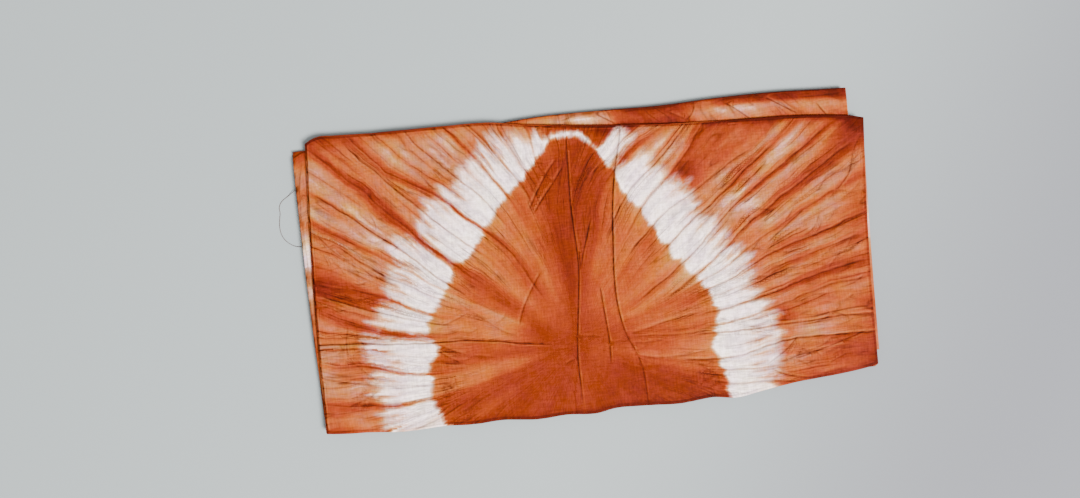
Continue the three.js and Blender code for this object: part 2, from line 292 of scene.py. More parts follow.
# angle, the ring's inner radius and its outer radius, in the same units.
RING_EDGES = (
    (-100, 152, 214), (-60, 148, 206), (-25, 158, 206), (-14, 153, 206), (-7, 141, 207),
    (0, 134, 205), (6, 136, 203), (14, 141, 196), (21, 139, 190), (29, 135, 195), (35, 132, 187),
    (41, 130, 192), (46, 129, 184), (52, 134, 193), (58, 137, 196), (63, 143, 197), (68, 150, 202),
    (73, 157, 210), (76.5, 165, 222), (79.6, 177, 226), (81, 181, 218), (83.2, 186.5, 206),
    (85.5, 195.5, 201), (88, 203, 210), (90.3, 207, 214), (93.6, 207.5, 214.5),
    (96.1, 206.5, 214.5), (98.1, 204, 214), (100.7, 194, 216), (104.9, 181, 216), (108, 176, 224),
    (112, 169, 230), (117, 161, 226), (122, 154, 218), (128, 147, 208), (134, 141, 212),
    (140, 138, 209), (147, 144, 205), (151, 142, 216), (155, 141, 210), (161, 143, 205),
    (168, 147, 204), (172, 149, 209), (176, 147, 214), (180.5, 139, 216), (184, 140, 214),
    (188, 146, 212), (194, 147, 211), (200, 151, 208), (206, 152, 214), (215, 148, 216),
    (240, 150, 210), (268, 152, 214),
)

# angle, radius, half angle, half radius and what is added to the dye there.
TONES = (
    (160, 46, 9, 16, 0.16), (152, 82, 4.5, 22, 0.14), (195.5, 84, 4, 40, -0.1),
    (207, 118, 5, 30, 0.02), (240, 90, 30, 60, 0.17), (-60, 80, 40, 50, 0.16),
    (-20, 100, 14, 50, 0.12), (6, 90, 8, 50, 0.14), (101, 105, 7, 55, 0.14), (60, 90, 14, 60, 0.06),
    (67, 214, 4, 12, -0.14), (0, 272, 5, 18, 0.22), (125, 75, 5, 22, 0.2), (188, 110, 3, 40, 0.14),
    (41.5, 98, 3, 28, -0.06), (22, 80, 5, 30, -0.04), (158, 130, 5, 16, -0.12),
    (147, 130, 4, 20, -0.08), (66, 150, 4, 14, -0.14), (30, 126, 4, 14, -0.1),
    (166.5, 264, 3.4, 20, 0.36), (152, 225, 4, 16, -0.08), (160, 215, 3, 10, -0.12),
    (168.5, 238, 3, 20, 0.1), (143, 282, 3, 24, 0.16), (141.5, 330, 3, 26, 0.38),
    (146, 342, 3, 10, 0.4), (130, 300, 9, 18, 0.22), (118, 262, 9, 9, 0.2),
    (172, 262, 2.4, 20, 0.22), (163, 282, 2, 14, 0.16), (58.5, 206, 3, 14, 0.3),
    (49.5, 206, 2, 7, 0.1), (56, 245, 6, 24, 0.14), (38.8, 352, 4, 22, 0.5),
    (39.2, 363, 2.2, 14, 0.9), (37.2, 325, 2.2, 26, 0.45), (44, 320, 3, 14, 0.2),
    (28, 315, 4, 16, 0.24), (34, 260, 4, 16, 0.1), (-4, 298, 3.5, 12, 0.44),
    (8.5, 205, 3, 11, 0.34), (3, 322, 6, 30, 0.56), (8, 290, 3, 12, 0.14), (24, 302, 3, 14, 0.12),
    (17, 326, 6, 20, 0.34), (21, 208, 3, 10, 0.06), (-15, 216, 4, 8, 0.1), (12, 226, 3, 14, 0.14),
    (33, 228, 4, 12, -0.24), (40, 222, 4, 12, -0.22), (50, 222, 3, 8, -0.12),
    (149, 280, 2, 30, 0.06), (176, 226, 2.4, 12, 0.04), (188, 236, 4, 10, 0.16),
    (184, 222, 3, 14, 0.12), (202, 262, 4, 24, 0.36), (195, 250, 4, 16, 0.2),
    (4.5, 232, 2, 16, -0.12), (-9, 232, 3, 12, 0.18), (80.5, 226, 5, 6, 0.45), (84, 216, 3, 6, 0.4),
    (206, 160, 3, 14, 0.16), (171, 278, 3, 14, 0.14), (10, 255, 8, 20, 0.1), (-10, 280, 4, 30, 0.2),
)


@dataclass(frozen=True)
class Wrinkle:
    """A crease that isn't a pleat line of the ring.

    Attributes:
        route: Its points in the photograph's pixels.
        line: How dark its thin line is, from 0 to 1.
        depth: How deep its trough is, in millimetres.
    """

    route: tuple[Point, ...]
    line: float
    depth: float = 0.45


TUCK_ROUTE = (
    (619.5, 122), (618.5, 140), (614, 171), (612, 206), (612.5, 243), (613.5, 275), (617, 304),
    (625, 332), (637.5, 355), (643.8, 375), (648, 404),
)
WRINKLES = tuple(Wrinkle(*row) for row in (
    (((565, 130), (566.5, 150), (568, 175), (571, 212), (576.5, 250), (578.6, 275),
      (577.8, 316), (577.5, 355), (580.6, 385), (583.7, 414)), 1, 0.6),
    (((590.5, 217), (587, 235), (583, 252), (580.8, 268)), 0.75),
    (((599, 283), (604, 312), (609, 340), (611, 366)), 0.85),
    (((528.6, 211), (538, 190), (548, 171), (557, 158)), 0.75),
    (((533, 215), (543, 198), (553, 183), (563, 166)), 0.7),
    (((519.4, 327), (521.5, 315), (525.5, 303), (534.7, 283), (542, 270)), 0.6),
    (((322, 379), (350, 382.5), (382.7, 385.2), (414, 385), (444, 387)), 0.6),
    (((358, 366), (369, 374.5), (380.5, 382)), 0.5),
    (((380, 389), (369, 397.6), (349, 407)), 0.55),
    (((349, 324), (347, 340), (349, 356), (357, 364)), 0.35),
    (((451, 403.5), (439, 413), (414, 423.5), (396, 430)), 0.45),
    (((566, 363.5), (571, 360.5), (575, 359)), 0.5),
    (((766, 364), (784.5, 349.5), (797, 336)), 0.6),
    (((768, 366), (782, 373), (806, 377), (832, 375.5)), 0.6),
    (((870, 328), (848, 337), (825, 346.5), (800, 356), (772, 363)), 0.7),
    (((803, 208.8), (786.5, 224), (766, 243)), 0.6),
    (((801, 226), (780, 238.5), (762, 254)), 0.5),
    (((867, 211), (846, 221), (825, 230), (797, 238)), 0.4),
    (((869, 305), (851, 307), (829, 312), (806, 318.5)), 0.65),
    (((800, 319), (778, 319.5), (752, 318.5), (733, 321), (712, 315)), 0.55),
    (((780, 332.5), (757, 327.5), (735, 322.5)), 0.5),
    (((778, 335.5), (750, 334), (712, 334.5)), 0.5),
    (((861, 132), (852, 150), (848, 171), (840, 184), (825, 202)), 0.6),
    (((627, 334), (645, 329), (663, 322), (699, 312)), 0.45),
    (((629, 336), (652, 335), (674, 334.5), (712, 330)), 0.45),
    (((635, 355), (658, 357), (682, 355), (712, 349)), 0.35),
    (((573, 336.5), (588, 336), (601, 336.5)), 0.35),
    (((433, 167), (439, 173), (446, 178.5), (453, 183)), 0.5),
    (((430, 158), (437, 165), (450, 172)), 0.35),
    (((367, 240), (376, 243), (386, 240), (392, 246)), 0.4),
    (((402, 240), (410, 236.5), (420, 240)), 0.3),
    (((474, 146), (484, 153), (493, 162), (503, 171)), 0.5),
    (((482, 150), (492, 158), (500, 166), (510, 176)), 0.55),
    (((700, 366), (712, 371), (720, 379)), 0.5),
    (((703, 381), (711, 376), (722, 374)), 0.5),
    (((706, 388), (714, 383), (716, 372)), 0.4),
    (((441, 390), (446, 383), (453, 384)), 0.35),
    (((443, 398), (449, 394), (454, 386)), 0.35),
    (((318, 236), (328, 246), (340, 256), (352, 262)), 0.5),
    (((316, 284), (333, 288), (352, 290), (380, 296)), 0.45),
    (((320, 298), (345, 303), (370, 309)), 0.35),
    (((436, 343), (452, 350), (470, 355), (498, 357)), 0.35),
    (((437, 350), (449, 357), (460, 362)), 0.45),
    (((470, 310), (488, 322), (505, 332), (518, 335)), 0.35),
    (((455, 300), (472, 312), (486, 320)), 0.25),
    (((594, 150), (601, 158), (611, 163)), 0.4),
    (((541, 128), (543, 140), (539, 150)), 0.25),
    (((602, 160), (594, 172), (588, 186)), 0.3),
))


# The dye along the parts of the second panel that show: at the back by the photograph's
# pixel column, and at the left by its pixel row.
BACK_STRIP_DYE = (
    (470, 0.50), (500, 0.44), (560, 0.34), (604, 0.36), (616, 0.70), (626, 0.90), (655, 1.00),
    (682, 0.90), (700, 0.50), (735, 0.34), (765, 0.44), (790, 0.54), (815, 0.50), (846, 0.56),
)
# The left strip's darkest rows, at its top, are painted shadow under the fold above. The rest is dye.
LEFT_STRIP_DYE_AND_SHADE = (
    (150, 1.10), (157, 0.80), (166, 0.55), (186, 0.46), (194, 0.60), (212, 0.36), (226, 0.52),
    (240, 0.16), (268, 0.12), (277, 0.46), (290, 0.16), (308, 0.42), (330, 0.55), (434, 0.45),
)
STRIP_WRINKLES = tuple(Wrinkle(*row) for row in (
    (((560, 121), (574, 116), (592, 114)), 0.45),
    (((590, 111), (602, 117), (616, 124)), 0.7),
    (((622, 113), (634, 110), (652, 109), (672, 106)), 0.4),
    (((694, 103), (692, 113), (684, 122)), 0.65),
    (((668, 112), (680, 117), (690, 121)), 0.55),
    (((724, 102), (737, 110), (752, 120)), 0.7),
    (((752, 94), (768, 99), (784, 107), (799, 114)), 0.75),
    (((703, 106), (730, 99), (765, 97)), 0.35),
    (((816, 103), (820, 108), (827, 115)), 0.7),
    (((800, 97), (822, 95), (842, 92)), 0.45),
    (((296, 190), (300, 194), (307, 196)), 0.6),
    (((297, 228), (303, 224), (309, 222)), 0.6),
    (((302, 160), (300, 185), (302, 220), (306, 250), (311, 285)), 0.45),
    (((305, 275), (309, 282), (313, 288)), 0.55),
))


@dataclass(frozen=True)
class CrumpleZone:
    """A patch of short creases, at a pixel of the photograph.

    Attributes:
        place_px: Its middle.
        spread: How far it reaches, in pixels.
        height: How far its crumples rise and sink, in millimetres.
        count: How many creases it has.
        heading: The way that the creases mostly run, in degrees.
        scatter: How far they stray from that, in degrees.
    """

    place_px: Point
    spread: float
    height: float
    count: int
    heading: float = 0.0
    scatter: float = 90.0

    def creases(self, seed: int) -> list[Wrinkle]:
        """Its creases, settled by a seed."""
        chance = np.random.default_rng(seed)
        made = []
        for _ in range(self.count):
            point = np.asarray(self.place_px) + chance.normal(0.0, 0.55 * self.spread, 2)
            heading = math.radians(self.heading + chance.uniform(-self.scatter, self.scatter))
            bend = chance.normal(0.0, 0.28)
            step = chance.uniform(0.16, 0.34) * self.spread
            route = [tuple(point)]
            for _ in range(3):
                point = point + step * np.array([math.cos(heading), -math.sin(heading)])
                route.append(tuple(point))
                heading += bend
            made.append(Wrinkle(tuple(route), chance.uniform(0.16, 0.46), 0.30))
        return made


CRUMPLE_ZONES = tuple(CrumpleZone(*row) for row in (
    ((712, 374), 17, 0.55, 16),
    ((447, 390), 12, 0.5, 9),
    ((440, 175), 17, 0.4, 8, -30, 40),
    ((386, 243), 15, 0.35, 8, 20, 50),
    ((335, 255), 20, 0.4, 9, -35, 35),
    ((752, 228), 24, 0.4, 9, 25, 40),
    ((720, 200), 28, 0.25, 8, 45, 40),
    ((700, 140), 34, 0.15, 8, 40, 30),
    ((735, 318), 18, 0.45, 9, 10, 40),
    ((788, 352), 18, 0.4, 8, 20, 40),
    ((570, 140), 16, 0.25, 5, 80, 30),
    ((716, 290), 14, 0.3, 9, 15, 30),
    ((740, 270), 22, 0.25, 8, 30, 25),
    ((815, 240), 34, 0.25, 12, 30, 25),
    ((830, 300), 30, 0.25, 10, 10, 25),
    ((820, 345), 30, 0.25, 9, 5, 35),
    ((840, 170), 30, 0.2, 7, 50, 30),
    ((350, 345), 26, 0.25, 8, 0, 60),
    ((360, 395), 26, 0.25, 8, 15, 50),
    ((340, 300), 22, 0.25, 8, -15, 25),
    ((400, 160), 30, 0.2, 6, -40, 25),
    ((520, 150), 24, 0.2, 7, -45, 30),
    ((345, 200), 26, 0.2, 6, -35, 30),
    ((630, 350), 26, 0.2, 6, 10, 30),
    ((470, 345), 26, 0.15, 6, 5, 20),
))


def catmull(points: Sequence[Point], step: float) -> Array:
    """A smooth line through points, cut into pieces of about one length."""
    given = np.asarray(points, float)
    padded = np.vstack([2 * given[0] - given[1], given, 2 * given[-1] - given[-2]])
    made = []
    for a, b, c, d in zip(padded, padded[1:], padded[2:], padded[3:]):
        count = max(1, int(np.linalg.norm(c - b) / step))
        t = np.arange(count)[:, None] / count
        squared, cubed = 2 * a - 5 * b + 4 * c - d, 3 * b - a - 3 * c + d
        made.append(0.5 * (2 * b + (c - a) * t + squared * t**2 + cubed * t**3))
    return np.vstack([*made, given[-1:]])


def line_distance(x: Array, y: Array, line: Array) -> tuple[Array, Array]:
    """Finds how far each place is from a line.

    Args:
        x: The places along X.
        y: The places along Y.
        line: The line's points.

    Returns:
        The signed distance, positive on the line's left as it runs, and the share of the
        line's length at the nearest point.
    """
    best = np.full(x.shape, np.inf)
    signed = np.full(x.shape, FAR)
    share = np.zeros(x.shape)
    count = len(line) - 1
    for index in range(count):
        a, b = line[index], line[index + 1]
        run = b - a
        size = max(float(np.hypot(*run)), 1e-9)
        along = ((x - a[0]) * run[0] + (y - a[1]) * run[1]) / size**2
        held = np.clip(along, 0.0, 1.0)
        off = np.hypot(x - a[0] - held * run[0], y - a[1] - held * run[1])
        side = (run[0] * (y - a[1]) - run[1] * (x - a[0])) / size
        nearer = off < best
        best = np.where(nearer, off, best)
        signed = np.where(nearer, np.copysign(off, side), signed)
        share = np.where(nearer, (index + held) / count, share)
    return signed, share


@dataclass
class Fields:
    """What is known at each point of a skin.

    Attributes:
        plain: The dye that the silk takes where nothing was tied, about 1 for full rust.
        At the top panel's edges and on the strips past it, it also holds painted shade
        and a painted highlight.
        bleed: How strongly dye followed the pleat lines there, from 0 to 1.
        band_in: How far outside the tied band's inner edge it lies, in millimetres.
        band_out: How far inside the tied band's outer edge it lies.
        pleat: The number of pleats passed on the way round the ring.
        reach: The distance from the ring's middle, in millimetres.
        line: The signed distance to the nearest pleat line, in millimetres.
        line_dark: How dark that line is.
        wrinkle: The signed distance to the nearest other crease or dark edge line.
        wrinkle_dark: How dark that crease or line is. The edge lines and the tuck's line are
            partly painted shade.
        fine: The signed distance to the nearest small crease within a pleat.
        fine_dark: How dark that crease is.
        rise: How far the skin stands over the flat sheet, in millimetres.
    """

    plain: Array
    bleed: Array
    band_in: Array
    band_out: Array
    pleat: Array
    reach: Array
    line: Array
    line_dark: Array
    wrinkle: Array
    wrinkle_dark: Array
    fine: Array
    fine_dark: Array
    rise: Array


@dataclass
class PleatSet:
    """What the pleat lines say about each place: see TiedRings.pleats."""

    angle: Array
    radius: Array
    number: Array
    share: Array
    width: Array
    signed: Array
    dark: Array
    bleed: Array
    pinch: Array
    inside: Array
    outside: Array
    fine: Array
    fine_dark: Array


@dataclass
class TiedRings:
    """The dye and the creases that tying left, over the cloth as it lies unfolded.

    Attributes:
        centre_px: The middle of the ring that shows, in the photograph's pixels.
        repeat: How far apart the rings lie along the cloth, in millimetres.
        hidden_after: The angles between which plain pleat lines follow the table's.
        hidden_before: The same for the lines that come before the table's.
        fine_shares: Where across a pleat its small creases may start.
        arch_angle: The middle of the ring's thin arch, in degrees.
        tie_radius: The radius at which the cloth was tied.
        outer_dye: What each pleat outside the ring takes, and its share of the table's dye.
        dye_range: The least and the most dye.
        drift: How far the dye wanders, broadly and finely, in millimetres.
        streaks: How strong the streaks and the strands outside the ring are.
        clouds: How strong the clouds of dye inside and outside the ring are.
        puff: How high a broad pleat stands, in millimetres, and ribs its unevenness.
    """

    centre_px: Point = (578.0, 345.0)
    repeat: float = 588.0
    middle_dye: float = 0.88
    face_blend: float = 1.5
    hidden_after: Point = (-27.0, -90.0)
    hidden_before: Point = (262.0, 216.0)
    hidden_step: float = 9.0
    fine_shares: tuple[float, ...] = (0.14, 0.40, 0.66)
    arch_angle: float = 91.0
    arch_spread: float = 6.5
    tie_radius: float = 174.0
    inside_mean: float = 0.66
    inside_spread: float = 1.35
    outer_dye: Point = (0.01, 1.03)
    dye_range: Point = (0.08, 1.3)
    drift: Point = (1.3, 0.5)
    streaks: Point = (0.10, 0.10)
    clouds: Point = (0.07, 0.10)
    puff: float = 0.60
    ribs: float = 0.30

    def __post_init__(self) -> None:
        """Adds plain pleat lines where the ring passes under the stack."""
        before, after = self.hidden(*self.hidden_before), self.hidden(*self.hidden_after)
        self.creases = (*before, *CREASES, *after)
        self.centre = PHOTO.plan(*self.centre_px)

    def hidden(self, first: float, last: float) -> list[Crease]:
        """Plain pleat lines from one angle down to another."""
        rows = []
        for number, angle in enumerate(np.arange(first, last - 0.1, -self.hidden_step)):
            sway = 2.0 * math.sin(number * 2.4)
            broad = 1.0 if number % 3 == 0 else 0.3
            at = tuple(angle + share * sway for share in (0, 1, 2, 2.5))
            bleed = (0.2, 0.8 * broad, 0.9 * broad, 0.8 * broad, 0.7 * broad)
            inside = 0.80 + 0.03 * math.sin(number * 1.9)
            outside = 0.36 + 0.14 * math.sin(number * 2.7 + 1)
            width = (5, 2.5, 3.5, 6, 6)
            rows.append(Crease(at, 0.6, (120, 300), bleed, width, (inside, outside)))
        return rows

    def polar(self, u: Array, v: Array) -> tuple[Array, Array]:
        """The angle in degrees and the radius of cloth places about the nearest ring."""
        number = np.round((v - self.centre[1]) / self.repeat)
        away = v - self.centre[1] - number * self.repeat
        across = (u - self.centre[0]) * np.where(np.mod(number, 2) == 0, 1.0, -1.0)
        angle = np.degrees(np.arctan2(away, across)) + PHOTO.turn_deg
        first = self.creases[0].at[1] + 5.5
        angle = np.where(angle > first, angle - FULL_TURN_DEG, angle)
        angle = np.where(angle < first - FULL_TURN_DEG, angle + FULL_TURN_DEG, angle)
        return angle, np.hypot(across, away) / PHOTO.mm_per_px

    def pleats(self, angle: Array, radius: Array) -> PleatSet:
        """Measures the pleat lines at each place.

        Args:
            angle: The angle in degrees.
            radius: The radius in the tables' units.

        Returns:
            The place itself, the number of pleats passed, the share across the pleat and
            its width, the signed distance to the nearest line and its darkness, how much
            dye followed the lines, how far they pinch the ring's ends, the pleat's own dye
            inside and outside the ring, and the same two for its small creases.
        """
        last = self.creases[-1]
        blank, far = np.zeros(angle.shape), np.full(angle.shape, FAR)
        made = PleatSet(
            angle=angle, radius=radius, number=blank.copy(), share=blank, width=blank + 30.0,
            signed=far, dark=blank, bleed=blank, pinch=blank, inside=blank + last.face[0],
            outside=blank + last.face[1], fine=far, fine_dark=blank,
        )
        inner = smooth(radius, 26.0, 74.0)
        tied = radius - self.tie_radius
        narrow = 0.82 - 0.26 * bell(tied, 34.0) + 0.22 * smooth(radius, 200.0, 240.0)
        before, face = None, last.face
        for crease in self.creases:
            rows = tuple(zip(CREASE_RADII, crease.at))
            at = eased(rows, radius)
            arc = math.radians(1.0) * radius
            lean = (eased(rows, radius + 1.0) - at) * arc
            off = (angle - at) * arc / np.hypot(1.0, lean)
            bleed = np.interp(radius, BLEED_RADII, crease.bleed)
            wide = np.interp(radius, BLEED_RADII, crease.width) * narrow
            flat_bell = np.exp(-np.abs(off / wide) ** 2.6)
            bleed = bleed ** (1.0 + 0.7 * bell(tied, 38.0))
            made.bleed = np.maximum(made.bleed, bleed * inner * flat_bell)
            fade = smooth(radius, crease.reach[0] - 6, crease.reach[0] + 10)
            fade = fade * (1 - smooth(radius, crease.reach[1] - 12, crease.reach[1] + 4))
            nearer = np.abs(off) < np.abs(made.signed)
            made.signed = np.where(nearer, off, made.signed)
            made.dark = np.where(nearer, crease.line * fade, made.dark)
            made.pinch = np.where(nearer, 0.35 + 0.65 * crease.bleed[2], made.pinch)
            passed = smooth(-off, -self.face_blend, self.face_blend)
            made.inside += (crease.face[0] - face[0]) * passed
            made.outside += (crease.face[1] - face[1]) * passed
            if before is not None:
                gap = np.maximum(before - at, 0.3)
                through = np.clip((before - angle) / gap, 0.0, 1.0)
                made.number += through
                within = (through > 0.0) & (through < 1.0)
                made.width = np.where(within, gap * arc, made.width)
            before, face = at, crease.face
        made.share = made.number - np.floor(made.number)
        made.dark = made.dark * (1.0 - smooth(np.abs(made.signed) / made.width, 0.28, 0.44))
        self.fine_creases(made)
        return made

    def fine_creases(self, made: PleatSet) -> None:
        """Adds the small creases that run along within each pleat."""
        number, radius = np.floor(made.number), made.radius
        for index, low in enumerate(self.fine_shares):
            spread = lattice(number, np.full(number.shape, index), Layer.FINE_PLACE)
            sway = noise(radius / 42.0, number * 3.3 + index, Layer.FINE_SWAY)
            at = low + 0.18 * spread + 0.07 * sway
            off = (made.share - at) * made.width
            chance = lattice(number, np.full(number.shape, index + 10), Layer.FINE_CHANCE)
            uneven = noise(radius / 34.0, number * 5.7 + index * 2.2, Layer.FINE_ALONG)
            along = 0.5 + 0.9 * uneven
            dark = np.clip(along * (0.25 + 0.85 * chance), 0.0, 1.0)
            dark = dark * smooth(made.width, 5.0, 10.0) * smooth(radius, 70.0, 130.0)
            dark = dark * (1.0 - smooth(np.abs(off) / made.width, 0.12, 0.2))
            nearer = np.abs(off) < np.abs(made.fine)
            made.fine = np.where(nearer, off, made.fine)
            made.fine_dark = np.where(nearer, dark, made.fine_dark)

    def band(self, pleat: PleatSet) -> tuple[Array, Array]:
        """How far each place lies within the tied band's inner and outer edges."""
        angle, radius = pleat.angle, pleat.radius
        lobe = np.abs(2.0 * pleat.share - 1.0)
        arch = bell(angle - self.arch_angle, self.arch_spread)
        loose = 1.0 - arch
        feather = noise(pleat.number * 5.0, radius / 26.0, Layer.FEATHER) * loose
        ticks = 3.2 * arch * noise(angle * 1.6, radius / 60.0, Layer.TICKS)
        inner = eased(RING_EDGES, angle, 1) + loose * pleat.pinch * 6.0 * lobe**3 + 2.4 * feather
        outer = eased(RING_EDGES, angle, 2) - loose * pleat.pinch * 12.0 * lobe**2.2
        outer = outer + 4.5 * feather + ticks
        return radius - inner, (outer - radius) * (1.0 + 2.6 * arch)

    def wander(self, u: Array, v: Array, layer: int) -> Array:
        """How far the dye wanders off the pleats one way, in millimetres."""
        broad = self.drift[0] * noise(u / 27.0, v / 27.0, layer)
        return broad + self.drift[1] * noise(u / 8.0, v / 8.0, layer + 1)

    def faces(self, u: Array, v: Array, pleat: PleatSet, band: tuple[Array, Array]) -> Array:
        """Works out the dye of the pleats' faces.

        Args:
            u: The places across the cloth, in millimetres.
            v: The places along the cloth as it lies unfolded.
            pleat: What the pleat lines say there.
            band: How far each place lies within the tied band's two edges.

        Returns:
            The dye that the silk takes where nothing was tied.
        """
        band_in, band_out = band
        angle, radius = pleat.angle, pleat.radius
        tone = np.zeros(angle.shape)
        for at, out, half_angle, half_out, change in TONES:
            tone += change * bell(angle - at, half_angle) * bell(radius - out, half_out)
        streak = noise(pleat.number * 2.3, radius / 70.0, Layer.STREAK)
        strand = noise(pleat.number * 6.1, radius / 42.0, Layer.STRAND)
        cloud = noise(u / 46.0, v / 46.0, Layer.CLOUD)
        blotch = noise(u / 21.0, v / 24.0, Layer.BLOTCH)
        open_up = smooth(radius, 24.0, 78.0)
        face = self.inside_mean + self.inside_spread * (pleat.inside - self.inside_mean)
        inside = self.middle_dye + open_up * (face - self.middle_dye)
        inside = inside + open_up * (0.05 * streak + 0.03 * strand)
        inside = inside + self.clouds[0] * cloud + 0.06 * blotch
        inside = inside - 0.14 * np.exp(np.minimum(band_in, 0.0) / 7.0)
        outside = self.outer_dye[0] + self.outer_dye[1] * pleat.outside
        outside = outside + self.streaks[0] * streak + self.streaks[1] * strand
        outside = outside + self.clouds[1] * cloud
        outside = outside + 0.07 * smooth(angle, 70.0, 50.0) * smooth(angle, -60.0, -20.0)
        outside = outside + 0.04 * smooth(angle, 140.0, 150.0)
        outside = outside + 0.10 * np.exp(-np.abs(band_out + 4.0) / 9.0)
        past = smooth(band_in, 10.0, 30.0)
        return np.clip(inside * (1 - past) + outside * past + tone, *self.dye_range)

    def relief(self, pleat: PleatSet) -> Array:
        """How far the pleats stand over the flat sheet and their lines lie in it."""
        radius = pleat.radius
        puff = self.puff * np.clip(pleat.width / 24.0, 0.2, 1.0) * smooth(radius, 50.0, 150.0)
        ribs = noise(pleat.number * 3.4, radius / 60.0, Layer.RIBS)
        ribs = self.ribs * smooth(radius, 60.0, 150.0) * ribs
        swell = 1.0 - np.square(2.0 * pleat.share - 1.0)
        trough = (0.15 + 0.65 * pleat.dark) * bell(pleat.signed, 1.9) * smooth(radius, 30.0, 90.0)
        trough += 0.25 * pleat.fine_dark * bell(pleat.fine, 1.7)
        return puff * swell + ribs - trough

    def evaluate(self, u: Array, v: Array) -> Fields:
        """Works out the dye and the creases.

        Args:
            u: The places across the cloth, in millimetres.
            v: The places along the cloth as it lies unfolded.

        Returns:
            The fields there. The rise is that of the pleats alone.
        """
        moved_u = u + self.wander(u, v, Layer.DRIFT_ACROSS)
        moved_v = v + self.wander(u, v, Layer.DRIFT_ALONG)
        pleat = self.pleats(*self.polar(moved_u, moved_v))
        band = self.band(pleat)
        stain = pleat.fine_dark * bell(pleat.fine, 2.6) * smooth(band[0], 20.0, 60.0)
        scale = PHOTO.mm_per_px
        return Fields(
            plain=self.faces(u, v, pleat, band),
            bleed=np.maximum(pleat.bleed, 0.55 * stain),
            band_in=band[0] * scale, band_out=band[1] * scale,
            pleat=pleat.number, reach=pleat.radius * scale,
            line=pleat.signed * scale, line_dark=pleat.dark,
            wrinkle=np.full(u.shape, FAR), wrinkle_dark=np.zeros(u.shape),
            fine=pleat.fine * scale, fine_dark=pleat.fine_dark,
            rise=self.relief(pleat),
        )


@dataclass
class TopPanel:
    """What only the top panel has: its other creases, its tuck and its crumples.

    Attributes:
        tuck_height: How high the tuck stands, in millimetres.
        tuck_fade: How far to its right it flattens out.
        trough_width: The half width of a crease's trough.
        wrinkle_reach: How far from a crease it is felt.
        line_step: How far apart the points along a crease lie.
        first_seed: The seed of the first patch of crumples.
    """

    tuck_height: float = 1.15
    tuck_fade: float = 24.0
    trough_width: float = 1.9
    wrinkle_reach: float = 7.0
    line_step: float = 4.0
    first_seed: int = 60

    def add(self, fields: Fields, x: Array, y: Array, chosen: Array) -> None:
        """Adds them to the fields of the chosen points."""
        rise = self.crease(fields, x, y, chosen, WRINKLES)
        for number, zone in enumerate(CRUMPLE_ZONES):
            rise += self.crease(fields, x, y, chosen, zone.creases(self.first_seed + number))
        rise += self.tuck(fields, x, y, chosen)
        rise += self.crumple(x, y)
        waves = 0.22 * noise(x / 40.0, y / 31.0, Layer.WAVES)
        rise += waves + 0.12 * noise(x / 15.0, y / 13.0, Layer.RIPPLES)
        fields.rise = np.where(chosen, fields.rise + rise, fields.rise)

    def crease(
        self, fields: Fields, x: Array, y: Array, chosen: Array, wrinkles: Sequence[Wrinkle],
    ) -> Array:
        """Draws wrinkles and gives the rise that they add."""
        rise = np.zeros(x.shape)
        for wrinkle in wrinkles:
            line = np.stack(PHOTO.plan(*catmull(wrinkle.route, self.line_step).T), axis=1)
            low, high = line.min(0) - self.wrinkle_reach, line.max(0) + self.wrinkle_reach
            near = chosen & (x > low[0]) & (x < high[0]) & (y > low[1]) & (y < high[1])
            if not near.any():
                continue
            signed, share = line_distance(x[near], y[near], line)
            ends = smooth(share, 0.0, 0.12) * (1 - smooth(share, 0.88, 1.0))
            rise[near] -= wrinkle.depth * ends * bell(signed, self.trough_width)
            rise[near] += 0.35 * wrinkle.depth * ends * bell(np.abs(signed) - 3.4, 2.0)
            self.draw(fields, np.flatnonzero(near), signed, wrinkle.line * ends)
        return rise

    def draw(self, fields: Fields, places: Array, signed: Array, dark: Array) -> None:
        """Keeps a crease's distance and darkness where it is the nearest crease."""
        closer = np.abs(signed) < np.abs(fields.wrinkle[places])
        mask = 1.0 - smooth(np.abs(signed), 3.0, self.wrinkle_reach - 1.0)
        fields.wrinkle[places[closer]] = signed[closer]
        fields.wrinkle_dark[places[closer]] = (dark * mask)[closer]

    def tuck(self, fields: Fields, x: Array, y: Array, chosen: Array) -> Array:
        """The pressed tuck: its right side stands over its left side.

        Args:
            fields: The fields, which get the tuck's dark line: its crease and painted shadow under its
                lip.
            x: The places along X.
            y: The places along Y.
            chosen: Which points are on the top panel.

        Returns:
            The rise that the tuck adds.
        """
        line = np.stack(PHOTO.plan(*catmull(TUCK_ROUTE, self.line_step).T), axis=1)
        rise = np.zeros(x.shape)
        signed, share = line_distance(x[chosen], y[chosen], line)
        strength = 0.55 + 0.45 * smooth(1.0 - share, 0.0, 0.5)
        close = np.abs(signed) < self.wrinkle_reach
        # The tuck's dark line is partly painted shadow under its raised lip.
        self.draw(fields, np.flatnonzero(chosen)[close], signed[close], strength[close])
        lip = smooth(signed, -1.0, 0.9) * np.exp(-np.maximum(signed, 0.0) / self.tuck_fade)
        rise[chosen] = self.tuck_height * strength * lip
        return rise

    def crumple(self, x: Array, y: Array) -> Array:
        """The rise of the fine crumples."""
        ridges = 1.0 - 2.0 * np.abs(noise(x / 9.0, y / 8.0, Layer.RIDGES))
        small = 1.0 - 2.0 * np.abs(noise(x / 5.0 + 9.0, y / 5.0, Layer.SMALL_RIDGES))
        rise = np.zeros(x.shape)
        for zone in CRUMPLE_ZONES:
            at = PHOTO.plan(*zone.place_px)
            near = bell(np.hypot(x - at[0], y - at[1]), zone.spread)
            rise += zone.height * near * (ridges + 0.5 * small)
        return rise


class Skin(Enum):
    """The four skins of the doubled sheet: how far each lies from its middle."""

    FIRST_OUT = 1.0
    FIRST_IN = 0.4
    SECOND_IN = -0.4
    SECOND_OUT = -1.0


